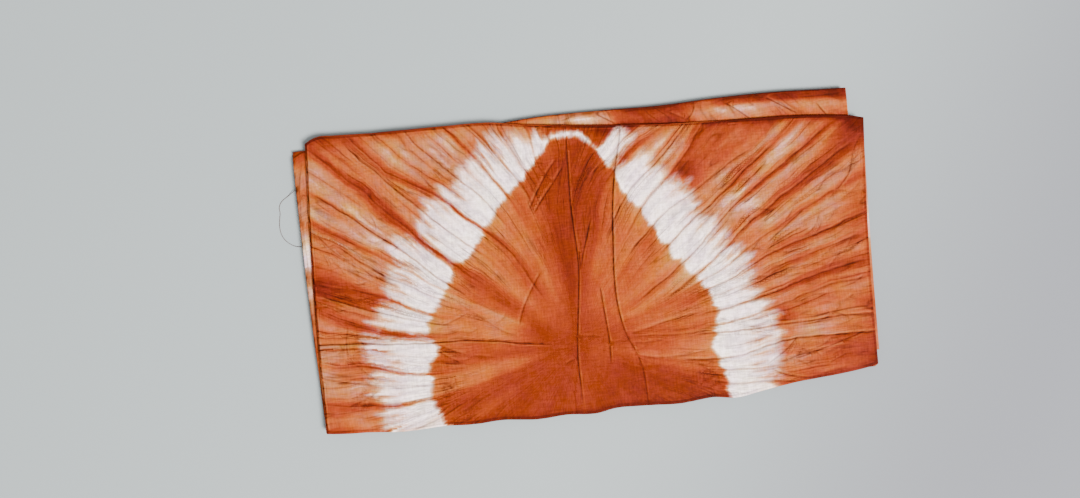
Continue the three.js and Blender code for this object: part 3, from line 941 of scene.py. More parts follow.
@dataclass(frozen=True)
class FoldLine:
    """A line that bounds two panels: the way it bulges and its points in plan."""

    side: int
    rows: tuple[Point, ...]

    def place(self, share: Array) -> Array:
        """Its plan places at shares of the way from left to right."""
        x = self.rows[0][0] + share * (self.rows[-1][0] - self.rows[0][0])
        return np.stack([x, eased(self.rows, x)], axis=1)

    def outward(self) -> Array:
        """The direction in plan that the fold bulges."""
        along = np.subtract(self.rows[-1], self.rows[0])
        along = along / np.hypot(*along)
        return self.side * np.array([-along[1], along[0]])


@dataclass(frozen=True)
class Panel:
    """One flat run of the doubled sheet: its level in the stack and its bow to the left."""

    level: int
    sway: float


@dataclass(frozen=True)
class Row:
    """One row of points across a skin.

    Attributes:
        along: Its place along the sheet: panel n runs from 2n to 2n + 1.
        shares: Its points' shares of the way from the left edge to the right.
    """

    along: float
    shares: Array


@dataclass
class FoldedSheet:
    """Where each point of the doubled, folded sheet lies, in millimetres."""

    sheet: float = 1.0
    pitch: float = 1.35
    skin_offset: float = 0.47
    folded_length: float = 571.5
    panel_depth: float = 292.0
    centre: Point = (-6.4, 0.8)
    tucked_end_y: float = -118.0
    top_lift: float = 0.3
    swells: tuple[tuple[float, float, float, float], ...] = (
        (0.34, 262, 340, 0.6), (0.24, 148, -215, 2.1), (0.14, -96, 175, 4.0),
    )
    swell_base: float = 0.55

    def __post_init__(self) -> None:
        """Sets out the fold lines and the panels between them."""
        back = self.centre[1] + self.panel_depth / 2
        front = self.centre[1] - self.panel_depth / 2
        self.lines = (
            self.straight(0, self.tucked_end_y, 3, -9),
            FoldLine(1, (
                (-277.5, 153), (-271, 156.4), (-265, 158), (-248, 157.4), (-206, 155.4),
                (-141, 154), (-86, 151.6), (-51.5, 145.6), (-31, 142.8), (43.5, 134.1),
                (116.5, 127.7), (180.5, 124.3), (246.5, 120), (282, 115.2), (293.6, 112.4),
            )),
            FoldLine(-1, (
                (-290.8, -146.5), (-268, -148.6), (-245.5, -149.8), (-205.5, -153.3), (-172, -152),
                (-138, -154), (-113, -153.1), (-71, -156.7), (-45, -155.6), (-10, -157.6),
                (3.5, -155.2), (36, -155.6), (79, -157.6), (106, -155.4), (132, -158.2),
                (161.5, -154), (189.5, -150.8), (233.5, -147.4), (262, -144.6), (279, -142),
            )),
            FoldLine(1, (
                (-292.5, 139.5), (-284, 144), (-250, 145.4), (-180, 147.5), (-86, 150.4),
                (-35, 152.7), (27, 151.6), (89, 149.4), (151, 150.3), (213, 149.1),
                (259, 146.3), (280.3, 145.2),
            )),
            self.straight(-1, front + 0.6, 0.2, 0.8),
            self.straight(1, back - 0.5, -0.4, -0.6),
            self.straight(-1, front - 0.4, -0.2, 0.5),
            self.straight(1, back - 1.6, -1.4, 0.9),
            self.straight(0, front + 1.9, -0.9, -1.1),
        )
        self.panels = (
            Panel(6, 1.2), Panel(7, 2.6), Panel(5, 1.4), Panel(4, 0.6),
            Panel(3, 0.9), Panel(2, 0.5), Panel(1, 1.9), Panel(0, 1.6),
        )

    def straight(self, side: int, y: float, shift: float, turn: float) -> FoldLine:
        """A hidden fold or end of the lower stack, moved a little from the rest."""
        middle = self.centre[0] + shift
        half = self.folded_length / 2
        return FoldLine(side, ((middle - half, y - turn), (middle + half, y + turn)))

    def swell(self, x: Array, y: Array) -> Array:
        """How much the stack swells at each place."""
        height = np.full(x.shape, self.swell_base)
        for size, along_x, along_y, phase in self.swells:
            height += size * np.sin(2 * np.pi * (x / along_x + y / along_y) + phase)
        return np.maximum(height, 0.0)

    def height(self, panel: Panel, x: Array, y: Array) -> Array:
        """The height of a panel's middle surface."""
        top = self.panels[1].level
        lift = self.top_lift if panel.level == top else 0.0
        flat = self.sheet / 2 + panel.level * self.pitch + lift
        return flat + self.swell(x, y) * (panel.level / top) ** 2

    def run_end(self, number: int, before: int, after: int, share: Array) -> Array:
        """The plan place where a panel's flat run meets one of its lines."""
        line = self.lines[number]
        place = line.place(share)
        if line.side == 0:
            return place
        x, y = place[:, 0], place[:, 1]
        low, high = (self.height(self.panels[index], x, y) for index in (before, after))
        inset = np.abs(low - high) / 2 + self.sheet / 2
        return place - inset[:, None] * line.outward()

    def run(self, number: int, share: Array) -> tuple[Array, Array]:
        """Both ends of a panel's flat run."""
        last = len(self.panels) - 1
        start = self.run_end(number, max(number - 1, 0), number, share)
        end = self.run_end(number + 1, number, min(number + 1, last), share)
        return start, end

    def on_panel(self, number: int, part: Array, share: Array) -> tuple[Array, Array]:
        """The middle surface and the first skin's direction on a panel."""
        panel = self.panels[number]
        start, end = self.run(number, share)
        plan = start + (end - start) * part[:, None]
        plan[:, 0] -= panel.sway * np.sin(math.pi * part)
        place = np.column_stack([plan, self.height(panel, plan[:, 0], plan[:, 1])])
        face = np.zeros_like(place)
        face[:, 2] = 1.0 if number % 2 else -1.0
        return place, face

    def on_fold(self, number: int, turn: Array, share: Array) -> tuple[Array, Array]:
        """The middle surface and the first skin's direction round a fold."""
        first, face = self.on_panel(number - 1, np.ones(share.shape), share)
        second, _ = self.on_panel(number, np.zeros(share.shape), share)
        outward = self.lines[number].outward()
        radius = np.abs(first[:, 2] - second[:, 2]) / 2
        falling = np.sign(first[:, 2] - second[:, 2])
        angle = math.pi * turn
        radial = np.column_stack([
            outward[0] * np.sin(angle), outward[1] * np.sin(angle), falling * np.cos(angle),
        ])
        drift = (second - first) * (turn - 0.5)[:, None]
        drift[:, 2] = 0.0
        place = (first + second) / 2 + radial * radius[:, None] + drift
        return place, radial * (falling * face[:, 2])[:, None]

    def locate(self, along: Array, share: Array) -> tuple[Array, Array]:
        """The middle surface and the first skin's direction anywhere along the sheet."""
        place = np.zeros((len(along), 3))
        face = np.zeros((len(along), 3))
        number = np.floor(along / 2).astype(int)
        part = along - 2 * number
        for panel in range(len(self.panels)):
            flat = (number == panel) & (part <= 1.0)
            place[flat], face[flat] = self.on_panel(panel, part[flat], share[flat])
            turning = (number == panel) & (part > 1.0)
            if turning.any():
                turned = self.on_fold(panel + 1, part[turning] - 1.0, share[turning])
                place[turning], face[turning] = turned
        return place, face

    def unfolded(self, along: Array, share: Array) -> Array:
        """How far along the unfolded cloth a row lies; the top panel keeps its own Y."""
        arc = math.pi * self.pitch
        start, end = self.run(1, share)
        number = np.floor(along / 2)
        part = along - 2 * number
        before = start[:, 1] + (2.0 - along) / 2.0 * self.panel_depth
        top = start[:, 1] + (end[:, 1] - start[:, 1]) * np.minimum(part, 1.0)
        top -= np.maximum(part - 1.0, 0.0) * arc
        gone = (number - 2) * (self.panel_depth + arc / 2) + np.minimum(part, 1.0) * self.panel_depth
        gone += np.maximum(part - 1.0, 0.0) * arc / 2
        after = end[:, 1] - arc - gone
        return np.where(along < 2.0, before, np.where(number == 1, top, after))


@dataclass
class Patch:
    """Points to be placed: their skin and where on it they lie.

    Attributes:
        skin: The skin.
        along: Each point's place along the sheet.
        share: Its share of the way from the left edge to the right.
        around: How far round the lengthwise fold it lies, from 0 to 1.
    """

    skin: Skin
    along: Array
    share: Array
    around: Array


@dataclass
class SkinBuilder:
    """Collects points and faces of the closed cloth."""

    places: list[Array] = field(default_factory=list)
    cloth: list[Array] = field(default_factory=list)
    fields: list[Fields] = field(default_factory=list)
    faces: list[tuple[int, ...]] = field(default_factory=list)
    rims: list[int] = field(default_factory=list)
    count: int = 0

    def add(self, place: Array, cloth: Array, fields: Fields) -> Array:
        """Adds points and returns their numbers."""
        first = self.count
        self.places.append(place)
        self.cloth.append(cloth)
        self.fields.append(fields)
        self.count += len(place)
        return np.arange(first, self.count)

    def zip_rows(self, a: Array, b: Array, at_a: Array, at_b: Array, rim: bool = False) -> None:
        """Joins two rows of points, which need not have as many points.

        Args:
            a: The first row's points.
            b: The second row's points.
            at_a: How far along each point of the first row lies.
            at_b: The same for the second row.
            rim: Whether the faces form a thin edge of the cloth.
        """
        first = len(self.faces)
        a, b, at_a, at_b = (np.asarray(row).tolist() for row in (a, b, at_a, at_b))
        if len(a) == len(b) and np.allclose(at_a, at_b):
            self.faces.extend(zip(a[:-1], a[1:], b[1:], b[:-1]))
        else:
            i = j = 0
            while i < len(a) - 1 or j < len(b) - 1:
                step_a = j == len(b) - 1 or (i < len(a) - 1 and at_a[i + 1] <= at_b[j + 1])
                if step_a:
                    self.faces.append((a[i], a[i + 1], b[j]))
                    i += 1
                else:
                    self.faces.append((a[i], b[j + 1], b[j]))
                    j += 1
        if rim:
            self.rims.extend(range(first, len(self.faces)))


def even(count: int) -> Array:
    """Shares from 0 to 1 in even steps."""
    return np.linspace(0, 1, count + 1)


def store(mesh: bpy.types.Mesh, name: str, values: Array) -> None:
    """Stores one number for each point of a mesh."""
    layer = mesh.attributes.new(name, "FLOAT", "POINT")
    layer.data.foreach_set("value", np.asarray(values, np.float32))


SHADER_FIELDS = (
    "plain", "bleed", "band_in", "band_out", "pleat", "reach", "line", "line_dark", "wrinkle",
    "wrinkle_dark", "fine", "fine_dark",
)


@dataclass
class FoldedSilk:
    """The doubled silk, folded flat: one closed mesh with its dye and creases.

    The columns and rows say how finely each part of a skin is meshed. Sizes are in
    millimetres, apart from cut_size, which is in metres.

    Attributes:
        margin: The share of the second panel that shows at the left.
        strip_from: Where along the second panel the strip at the back starts to show.
        edge_bulge: How far the outer ply stands out at the lengthwise fold.
        edge_angles: How far round that fold its columns lie.
        base_rise: How far the top panel's relief is raised.
        roll_height: How high the strip at the back stands.
        past_band: How far outside the tied band the strips count as.
        cut_size: The width and length that the cloth was cut to; not used.
    """

    name: str = "dyed_silk_cloth"
    fine_columns: int = 336
    fine_rows: int = 172
    coarse_columns: int = 32
    coarse_rows: int = 14
    base_columns: int = 115
    base_rows: int = 58
    strip_columns: int = 180
    margin_columns: int = 10
    covered_rows: int = 44
    strip_rows: int = 15
    margin: float = 0.036
    strip_from: float = 0.85
    edge_bulge: float = 1.2
    inner_bulge: float = 0.25
    edge_angles: tuple[float, ...] = (0.2, 0.4, 0.6, 0.8)
    base_rise: float = 0.75
    roll_height: float = 1.7
    past_band: float = 40.0
    cut_size: Point = (1.143, 2.33)
    sheet: FoldedSheet = field(default_factory=FoldedSheet)
    rings: TiedRings = field(default_factory=TiedRings)
    top: TopPanel = field(default_factory=TopPanel)

    def rows_of(self, skin: Skin) -> list[Row]:
        """The rows of one skin, from the tucked end to the outer end."""
        rows = self.panel_rows(skin, 0)
        for number in range(1, len(self.sheet.panels)):
            rows.extend(self.fold_rows(skin, number - 1))
            rows.extend(self.panel_rows(skin, number))
        return rows

    def panel_rows(self, skin: Skin, number: int) -> list[Row]:
        """The rows of one panel of one skin."""
        coarse = even(self.coarse_columns)
        first = 2 * number
        if skin is Skin.FIRST_OUT and number == 1:
            fine = even(self.fine_columns)
            return [Row(first + part, fine) for part in even(self.fine_rows)]
        if skin is Skin.SECOND_OUT and number == 7:
            base = even(self.base_columns)
            parts = even(self.base_rows)
            return [Row(first + part, coarse if part == 1 else base) for part in parts]
        if skin is Skin.SECOND_OUT and number == 2:
            margin = np.linspace(0, self.margin, self.margin_columns)[:-1]
            edge = np.concatenate([margin, coarse[1:] * (1 - self.margin) + self.margin])
            covered = np.linspace(0, self.strip_from - 0.01, self.covered_rows)
            shown = np.linspace(self.strip_from, 1, self.strip_rows)
            wide = [Row(first + part, edge) for part in covered]
            return wide + [Row(first + part, even(self.strip_columns)) for part in shown]
        return [Row(first + part, coarse) for part in even(self.coarse_rows)]

    def fold_rows(self, skin: Skin, number: int) -> list[Row]:
        """The rows round the fold that follows one panel of one skin."""
        fine, strip = even(self.fine_columns), even(self.strip_columns)
        quarter, half = fine[::4], fine[::2]
        if skin is Skin.FIRST_OUT and number == 0:
            columns = [quarter, half, fine, fine, fine, fine]
        elif skin is Skin.FIRST_OUT and number == 1:
            columns = [fine, fine, fine, fine, fine, half, quarter]
        elif skin is Skin.SECOND_OUT and number == 2:
            columns = [strip, strip, strip, strip, strip[::2]]
        else:
            columns = [even(self.coarse_columns)] * 3
        steps = len(columns) + 1
        first = 2 * number + 1
        return [Row(first + (index + 1) / steps, shares) for index, shares in enumerate(columns)]

    def surface(self, patch: Patch) -> tuple[Array, Array, Fields]:
        """Places points of a skin.

        Args:
            patch: Where the points lie on the sheet.

        Returns:
            The points, their places on the unfolded cloth and their fields.
        """
        middle, face = self.sheet.locate(patch.along, patch.share)
        v = self.sheet.unfolded(patch.along, patch.share)
        u = middle[:, 0] + math.pi * patch.around * self.sheet.skin_offset
        fields = self.rings.evaluate(u, v)
        self.finish_fields(patch, middle, fields)
        side = 1.0 if patch.skin.value > 0 else -1.0
        angle = math.pi * patch.around
        lift = patch.skin.value * self.sheet.skin_offset * np.cos(angle)
        lift += side * fields.rise * np.maximum(np.cos(angle), 0.0) ** 2
        place = middle + face * lift[:, None]
        outer = patch.skin in (Skin.FIRST_OUT, Skin.SECOND_OUT)
        place[:, 0] += np.sin(angle) * (self.edge_bulge if outer else self.inner_bulge)
        self.uneven_edges(patch, place)
        return place, np.column_stack([u, v]), fields

    def finish_fields(self, patch: Patch, middle: Array, fields: Fields) -> None:
        """Adds what a panel has besides the rings, and stills the rise near its edges.

        The top panel's edges are darkened partly by dye and partly by painted shade.
        """
        x, y = middle[:, 0], middle[:, 1]
        on_top = (patch.along > 1.0) & (patch.along < 4.0) & (patch.skin is Skin.FIRST_OUT)
        if on_top.any():
            self.top.add(fields, x, y, on_top)
        part = patch.along - 2.0
        near_fold = np.maximum(np.minimum(part, 1.0 - part), 0.0) * self.sheet.panel_depth
        left = patch.share * self.sheet.folded_length
        right = (1 - patch.share) * self.sheet.folded_length
        rise = np.maximum(self.base_rise + fields.rise, 0.02)
        for away, least, reach in ((near_fold, 0.35, 12), (left, 0.3, 10), (right, 0.4, 8)):
            rise = rise * (least + (1 - least) * smooth(away, 0, reach))
        # The rim darkens the colour along the top panel's folds and edges, most at the back towards the
        # right. It is partly dye that gathers in the folds and partly painted shade of the rolled
        # edges.
        corner = smooth(x, 90.0, 250.0) * (part < 0.5)
        rim = (0.34 + 0.50 * corner) * bell(near_fold, 3.4)
        rim += 0.26 * bell(left, 1.8) + 0.16 * bell(right, 3.2)
        ends = smooth(-x, 60.0, 220.0) + smooth(x, 90.0, 200.0)
        rim += 0.20 * bell(near_fold, 11.0) * ends * (part < 0.5)
        fields.plain = fields.plain + np.where(on_top, rim, 0.0)
        fields.rise = np.where(on_top, rise, 0.0)
        if on_top.any():
            self.draw_edges(patch, x, near_fold, (left, right), fields)
        if patch.skin is Skin.SECOND_OUT:
            self.finish_strip(patch, x, y, fields)

    def draw_edges(
        self, patch: Patch, x: Array, near_fold: Array, ends: tuple[Array, Array], fields: Fields,
    ) -> None:
        """Draws the dark lines along the top panel's edges: partly dye, partly painted shade where the
        edges roll under.
        """
        left, right = ends
        part = patch.along - 2.0
        flat = (part > -0.02) & (part < 1.02)
        wander = noise(x / 16.0, patch.along, Layer.EDGE_LINE)
        # These lines are partly painted shade over the layers below where the edges roll under. The
        # back fold's line is the darkest, and darker from the middle rightwards.
        back = 0.62 + 0.30 * smooth(x, -90.0, -10.0)
        fold_dark = np.where(part < 0.5, back, 0.45) * (0.85 + 0.5 * wander)
        edges = (
            (near_fold - 0.5, fold_dark, 2.4),
            (left - 0.7, np.full(x.shape, 0.75), 2.0),
            (right - 0.8, np.full(x.shape, 0.35), 2.0),
        )
        for away, dark, reach in edges:
            near = np.flatnonzero(flat & (np.abs(away) < reach + 1.2))
            self.top.draw(fields, near, away[near], dark[near])

    def finish_strip(self, patch: Patch, x: Array, y: Array, fields: Fields) -> None:
        """The parts of the second panel that show past the top one: their dye, with painted shade along
        the back strip's edges and a painted highlight along its middle.
        """
        low = eased(self.sheet.lines[1].rows, x)
        high = eased(self.sheet.lines[3].rows, x)
        across = np.clip((y - low) / np.maximum(high - low, 1.0), 0.0, 1.0)
        panel = (patch.along > 4.0) & (patch.along < 6.0)
        shown = (patch.along > 4.5) & (patch.along < 5.6)
        roll = self.roll_height * np.sin(math.pi * across) * smooth(high - low, 8.0, 26.0)
        fields.rise = np.where(shown, roll, fields.rise)
        px, py = PHOTO.pixel(x, y)
        at_left = smooth(-x, 272.0, 277.0) * smooth(-y, -150.0, -144.0)
        grain = noise((x + 1.4 * y) / 7.0, (y - 0.2 * x) / 21.0, Layer.STRIP_GRAIN)
        # Painted shade darkens the back strip's far edge, which rolls away from the light, and its near
        # edge beside the top panel's fold. A painted highlight lightens its middle.
        back = eased(BACK_STRIP_DYE, px) + 0.12 * grain + 0.30 * bell(high - y, 4.0)
        back = back + 0.55 * smooth(across, 0.56, 0.74) * smooth(px, 690.0, 730.0)
        back = back - 0.12 * bell(across - 0.44, 0.10) + 0.16 * bell(across, 0.16)
        side = eased(LEFT_STRIP_DYE_AND_SHADE, py) + 0.08 * grain
        dye = np.clip(back + (side - back) * at_left, 0.08, 1.25)
        fields.plain = np.where(panel, dye, fields.plain)
        fields.band_out = np.where(panel, -self.past_band, fields.band_out)
        for name in ("bleed", "line_dark", "fine_dark"):
            setattr(fields, name, np.where(panel, 0.0, getattr(fields, name)))
        if panel.any():
            self.top.crease(fields, x, y, shown | (panel & (x < -270.0)), STRIP_WRINKLES)
            # A dark line of painted shade along the back strip's far, rolled edge.
            edge = np.flatnonzero(shown & (high - y < 3.0) & (x > -280.0))
            self.top.draw(fields, edge, (high - y - 0.6)[edge], np.full(len(edge), 0.8))

    def uneven_edges(self, patch: Patch, place: Array) -> None:
        """Moves the raw left edges a little in and out, each ply its own way."""
        number = np.floor(patch.along / 2)
        ply = 0 if patch.skin.value > 0 else 1
        reach = (1 - patch.share) ** 24
        wander = noise(place[:, 1] / 60.0, number * 3.7 + ply * 1.9, Layer.EDGE_WANDER)
        place[:, 0] += reach * (np.where(number == 1, 0.0, 0.8 * wander) - 0.8 * ply)
        fibres = noise(place[:, 1] / 7.0, number + 0.5 * ply, Layer.EDGE_FIBRES)
        place[:, 0] += reach * 0.35 * fibres

    def skin_points(self, builder: SkinBuilder, skin: Skin) -> tuple[list[Row], list[Array]]:
        """Makes and joins the rows of one skin."""
        rows = self.rows_of(skin)
        sizes = [len(row.shares) for row in rows]
        along = np.repeat([row.along for row in rows], sizes)
        share = np.concatenate([row.shares for row in rows])
        numbers = builder.add(*self.surface(Patch(skin, along, share, np.zeros(len(along)))))
        ends = np.cumsum(sizes)
        split = [numbers[end - size:end] for end, size in zip(ends, sizes)]
        for low, high, a, b in zip(rows, rows[1:], split, split[1:]):
            builder.zip_rows(a, b, low.shares, high.shares)
        return rows, split

    def build(self) -> bpy.types.Object:
        """Builds the closed mesh.

        Returns:
            The cloth.
        """
        builder = SkinBuilder()
        made = {skin: self.skin_points(builder, skin) for skin in Skin}
        along = {skin: np.array([row.along for row in made[skin][0]]) for skin in Skin}
        left = {skin: np.array([row[0] for row in made[skin][1]]) for skin in Skin}
        right = {skin: np.array([row[-1] for row in made[skin][1]]) for skin in Skin}
        outside, within = (Skin.FIRST_OUT, Skin.SECOND_OUT), (Skin.FIRST_IN, Skin.SECOND_IN)
        outer = self.lengthwise_fold(builder, *outside, along, right, self.edge_angles)
        inner = self.lengthwise_fold(builder, *within, along, right, (0.5,))
        for out, within in zip(outside, within):
            builder.zip_rows(left[out], left[within], along[out], along[within], rim=True)
        for end in (0, -1):
            self.close_end(builder, made, outer, inner, end)
        return self.to_object(builder)

    def lengthwise_fold(
        self, builder: SkinBuilder, first: Skin, second: Skin, along: dict[Skin, Array],
        right: dict[Skin, Array], angles: Sequence[float],
    ) -> list[Array]:
        """Joins two skins round the lengthwise fold.

        Args:
            builder: Where the points go.
            first: The skin that the fold starts from.
            second: The skin that it ends on.
            along: Each skin's row places.
            right: Each skin's rightmost points.
            angles: How far round each column of the fold lies.

        Returns:
            The columns of the fold.
        """
        columns = []
        edge = np.ones(len(along[first]))
        for angle in angles:
            patch = Patch(first, along[first], edge, np.full(len(edge), angle))
            columns.append(builder.add(*self.surface(patch)))
        chain = [right[first], *columns]
        for a, b in zip(chain, chain[1:]):
            builder.zip_rows(a, b, along[first], along[first])
        builder.zip_rows(chain[-1], right[second], along[first], along[second])
        return columns

    def close_end(
        self, builder: SkinBuilder, made: dict[Skin, tuple[list[Row], list[Array]]],
        outer: list[Array], inner: list[Array], end: int,
    ) -> None:
        """Closes the thin rim at one end of the cloth."""

        def chain(first: Skin, second: Skin, columns: list[Array]) -> tuple[Array, Array]:
            """The points of one side of the rim and how far round each lies."""
            row_a, row_b = made[first][0][end], made[second][0][end]
            middle = np.array([column[end] for column in columns])
            at = np.linspace(1, 2, len(middle) + 2)[1:-1]
            points = np.concatenate([made[first][1][end], middle, made[second][1][end][::-1]])
            return points, np.concatenate([row_a.shares, at, 3 - row_b.shares[::-1]])

        a, at_a = chain(Skin.FIRST_OUT, Skin.SECOND_OUT, outer)
        b, at_b = chain(Skin.FIRST_IN, Skin.SECOND_IN, inner)
        builder.zip_rows(a, b, at_a, at_b, rim=True)

    def to_object(self, builder: SkinBuilder) -> bpy.types.Object:
        """Turns the collected points and faces into a mesh object with its attributes."""
        places = np.vstack(builder.places) * MM
        mesh = bpy.data.meshes.new(self.name)
        mesh.from_pydata(places.tolist(), [], builder.faces)
        work = bmesh.new()
        work.from_mesh(mesh)
        bmesh.ops.recalc_face_normals(work, faces=work.faces)
        work.to_mesh(mesh)
        work.free()
        soft = np.ones(len(mesh.polygons), bool)
        soft[builder.rims] = False
        mesh.polygons.foreach_set("use_smooth", soft)
        cloth = np.vstack(builder.cloth)
        store(mesh, "across", cloth[:, 0])
        store(mesh, "along", cloth[:, 1])
        for name in SHADER_FIELDS:
            store(mesh, name, np.concatenate([getattr(part, name) for part in builder.fields]))
        thing = bpy.data.objects.new(self.name, mesh)
        bpy.context.scene.collection.objects.link(thing)
        return thing


class Sock:
    """A node's output socket, on which shader maths is written as expressions."""

    def __init__(self, tree: "Graph", socket: bpy.types.NodeSocket) -> None:
        """Wraps a socket of a tree."""
        self.tree = tree
        self.socket = socket

    def maths(self, operation: str, *values: Any) -> "Sock":
        """A Math node on this socket and other values."""
        inputs = dict(enumerate((self, *values)))
        return self.tree.add("ShaderNodeMath", {"operation": operation}, inputs)

    def __add__(self, other: Any) -> "Sock":
        """self + other."""
        return self.maths("ADD", other)

    __radd__ = __add__

    def __mul__(self, other: Any) -> "Sock":
        """self * other."""
        return self.maths("MULTIPLY", other)

    __rmul__ = __mul__

    def __sub__(self, other: Any) -> "Sock":
        """self - other."""
        return self.maths("SUBTRACT", other)

    def __rsub__(self, other: float) -> "Sock":
        """other - self."""
        return (self * -1.0) + other

    def __truediv__(self, other: Any) -> "Sock":
        """self / other."""
        return self.maths("DIVIDE", other)

    def clipped(self) -> "Sock":
        """Held between 0 and 1."""
        return self.tree.add("ShaderNodeClamp", {}, {0: self})

    def bell(self, width: float) -> "Sock":
        """A Gaussian bell, 1 where this is 0."""
        scaled = self * (1.0 / width)
        return (scaled * scaled * -1.0).maths("EXPONENT")


class Graph:
    """A node tree while it is built."""

    def __init__(self, tree: bpy.types.NodeTree) -> None:
        """Starts with the tree empty."""
        self.nodes, self.links = tree.nodes, tree.links
        self.nodes.clear()

    def add(self, kind: str, settings: dict[str, Any], inputs: dict[Any, Any], output: Any = 0) -> Sock:
        """Adds a node.

        Args:
            kind: The node's type.
            settings: Its settings; "stops" holds a ramp's places and colours.
            inputs: Values or sockets, by input name or number.
            output: The output that is returned.

        Returns:
            That output.
        """
        node = self.nodes.new(kind)
        for key, value in settings.items():
            if key == "stops":
                ramp = node.color_ramp
                while len(ramp.elements) < len(value):
                    ramp.elements.new(1.0)
                for element, (place, colour) in zip(ramp.elements, value):
                    element.position = place
                    element.color = colour
            else:
                setattr(node, key, value)
        for key, value in inputs.items():
            if isinstance(value, Sock):
                self.links.new(value.socket, node.inputs[key])
            else:
                node.inputs[key].default_value = value
        return Sock(self, node.outputs[output] if node.outputs else None)

    def vector(self, x: Any, y: Any, z: Any = 0.0) -> Sock:
        """A vector from three numbers."""
        return self.add("ShaderNodeCombineXYZ", {}, {0: x, 1: y, 2: z})

    def noise(self, at: Sock, scale: float, detail: float = 2.0, rough: float = 0.5) -> Sock:
        """Noise about 0, mostly from -0.5 to 0.5."""
        inputs = {"Vector": at, "Scale": scale, "Detail": detail, "Roughness": rough}
        return self.add("ShaderNodeTexNoise", {}, inputs) - 0.5


class Shading(Graph):
    """A material's node tree while it is built."""

    def __init__(self, name: str) -> None:
        """Starts an empty material."""
        self.material = bpy.data.materials.new(name)
        self.material.use_nodes = True
        super().__init__(self.material.node_tree)

    def stored(self, name: str) -> Sock:
        """A number stored on the mesh."""
        settings = {"attribute_name": name, "attribute_type": "GEOMETRY"}
        return self.add("ShaderNodeAttribute", settings, {}, "Fac")

    def rising(self, value: Sock, low: float, high: float) -> Sock:
        """Rises smoothly from 0 at low to 1 at high."""
        inputs = {"Value": value, "From Min": low, "From Max": high}
        return self.add("ShaderNodeMapRange", {"interpolation_type": "SMOOTHSTEP"}, inputs)

    def mix(self, share: Any, first: Any, second: Any, blend: str = "MIX") -> Sock:
        """Mixes two colours."""
        settings = {"data_type": "RGBA", "blend_type": blend, "clamp_factor": True}
        return self.add("ShaderNodeMix", settings, {0: share, 6: first, 7: second}, 2)

    def finish(self, shader: Sock) -> bpy.types.Material:
        """Links the shader to the output and gives the material."""
        self.add("ShaderNodeOutputMaterial", {}, {"Surface": shader})
        return self.material


@dataclass(frozen=True)
class Stain:
    """What the silk's dye and its colours are both worked out from.

    Attributes:
        cloth: The place on the cloth.
        fibre: Streaks of fibres along the pleats.
        hair: Finer streaks.
        mottle: Mottling that knows no pleats.
        white: How white the tied band left the silk.
        drawn: How strongly dye was drawn in along the pleat lines.
        outer: What dye the bare silk took on the ring's outer side.
    """

    cloth: Sock
    fibre: Sock
    hair: Sock
    mottle: Sock
    white: Sock
    drawn: Sock
    outer: Sock


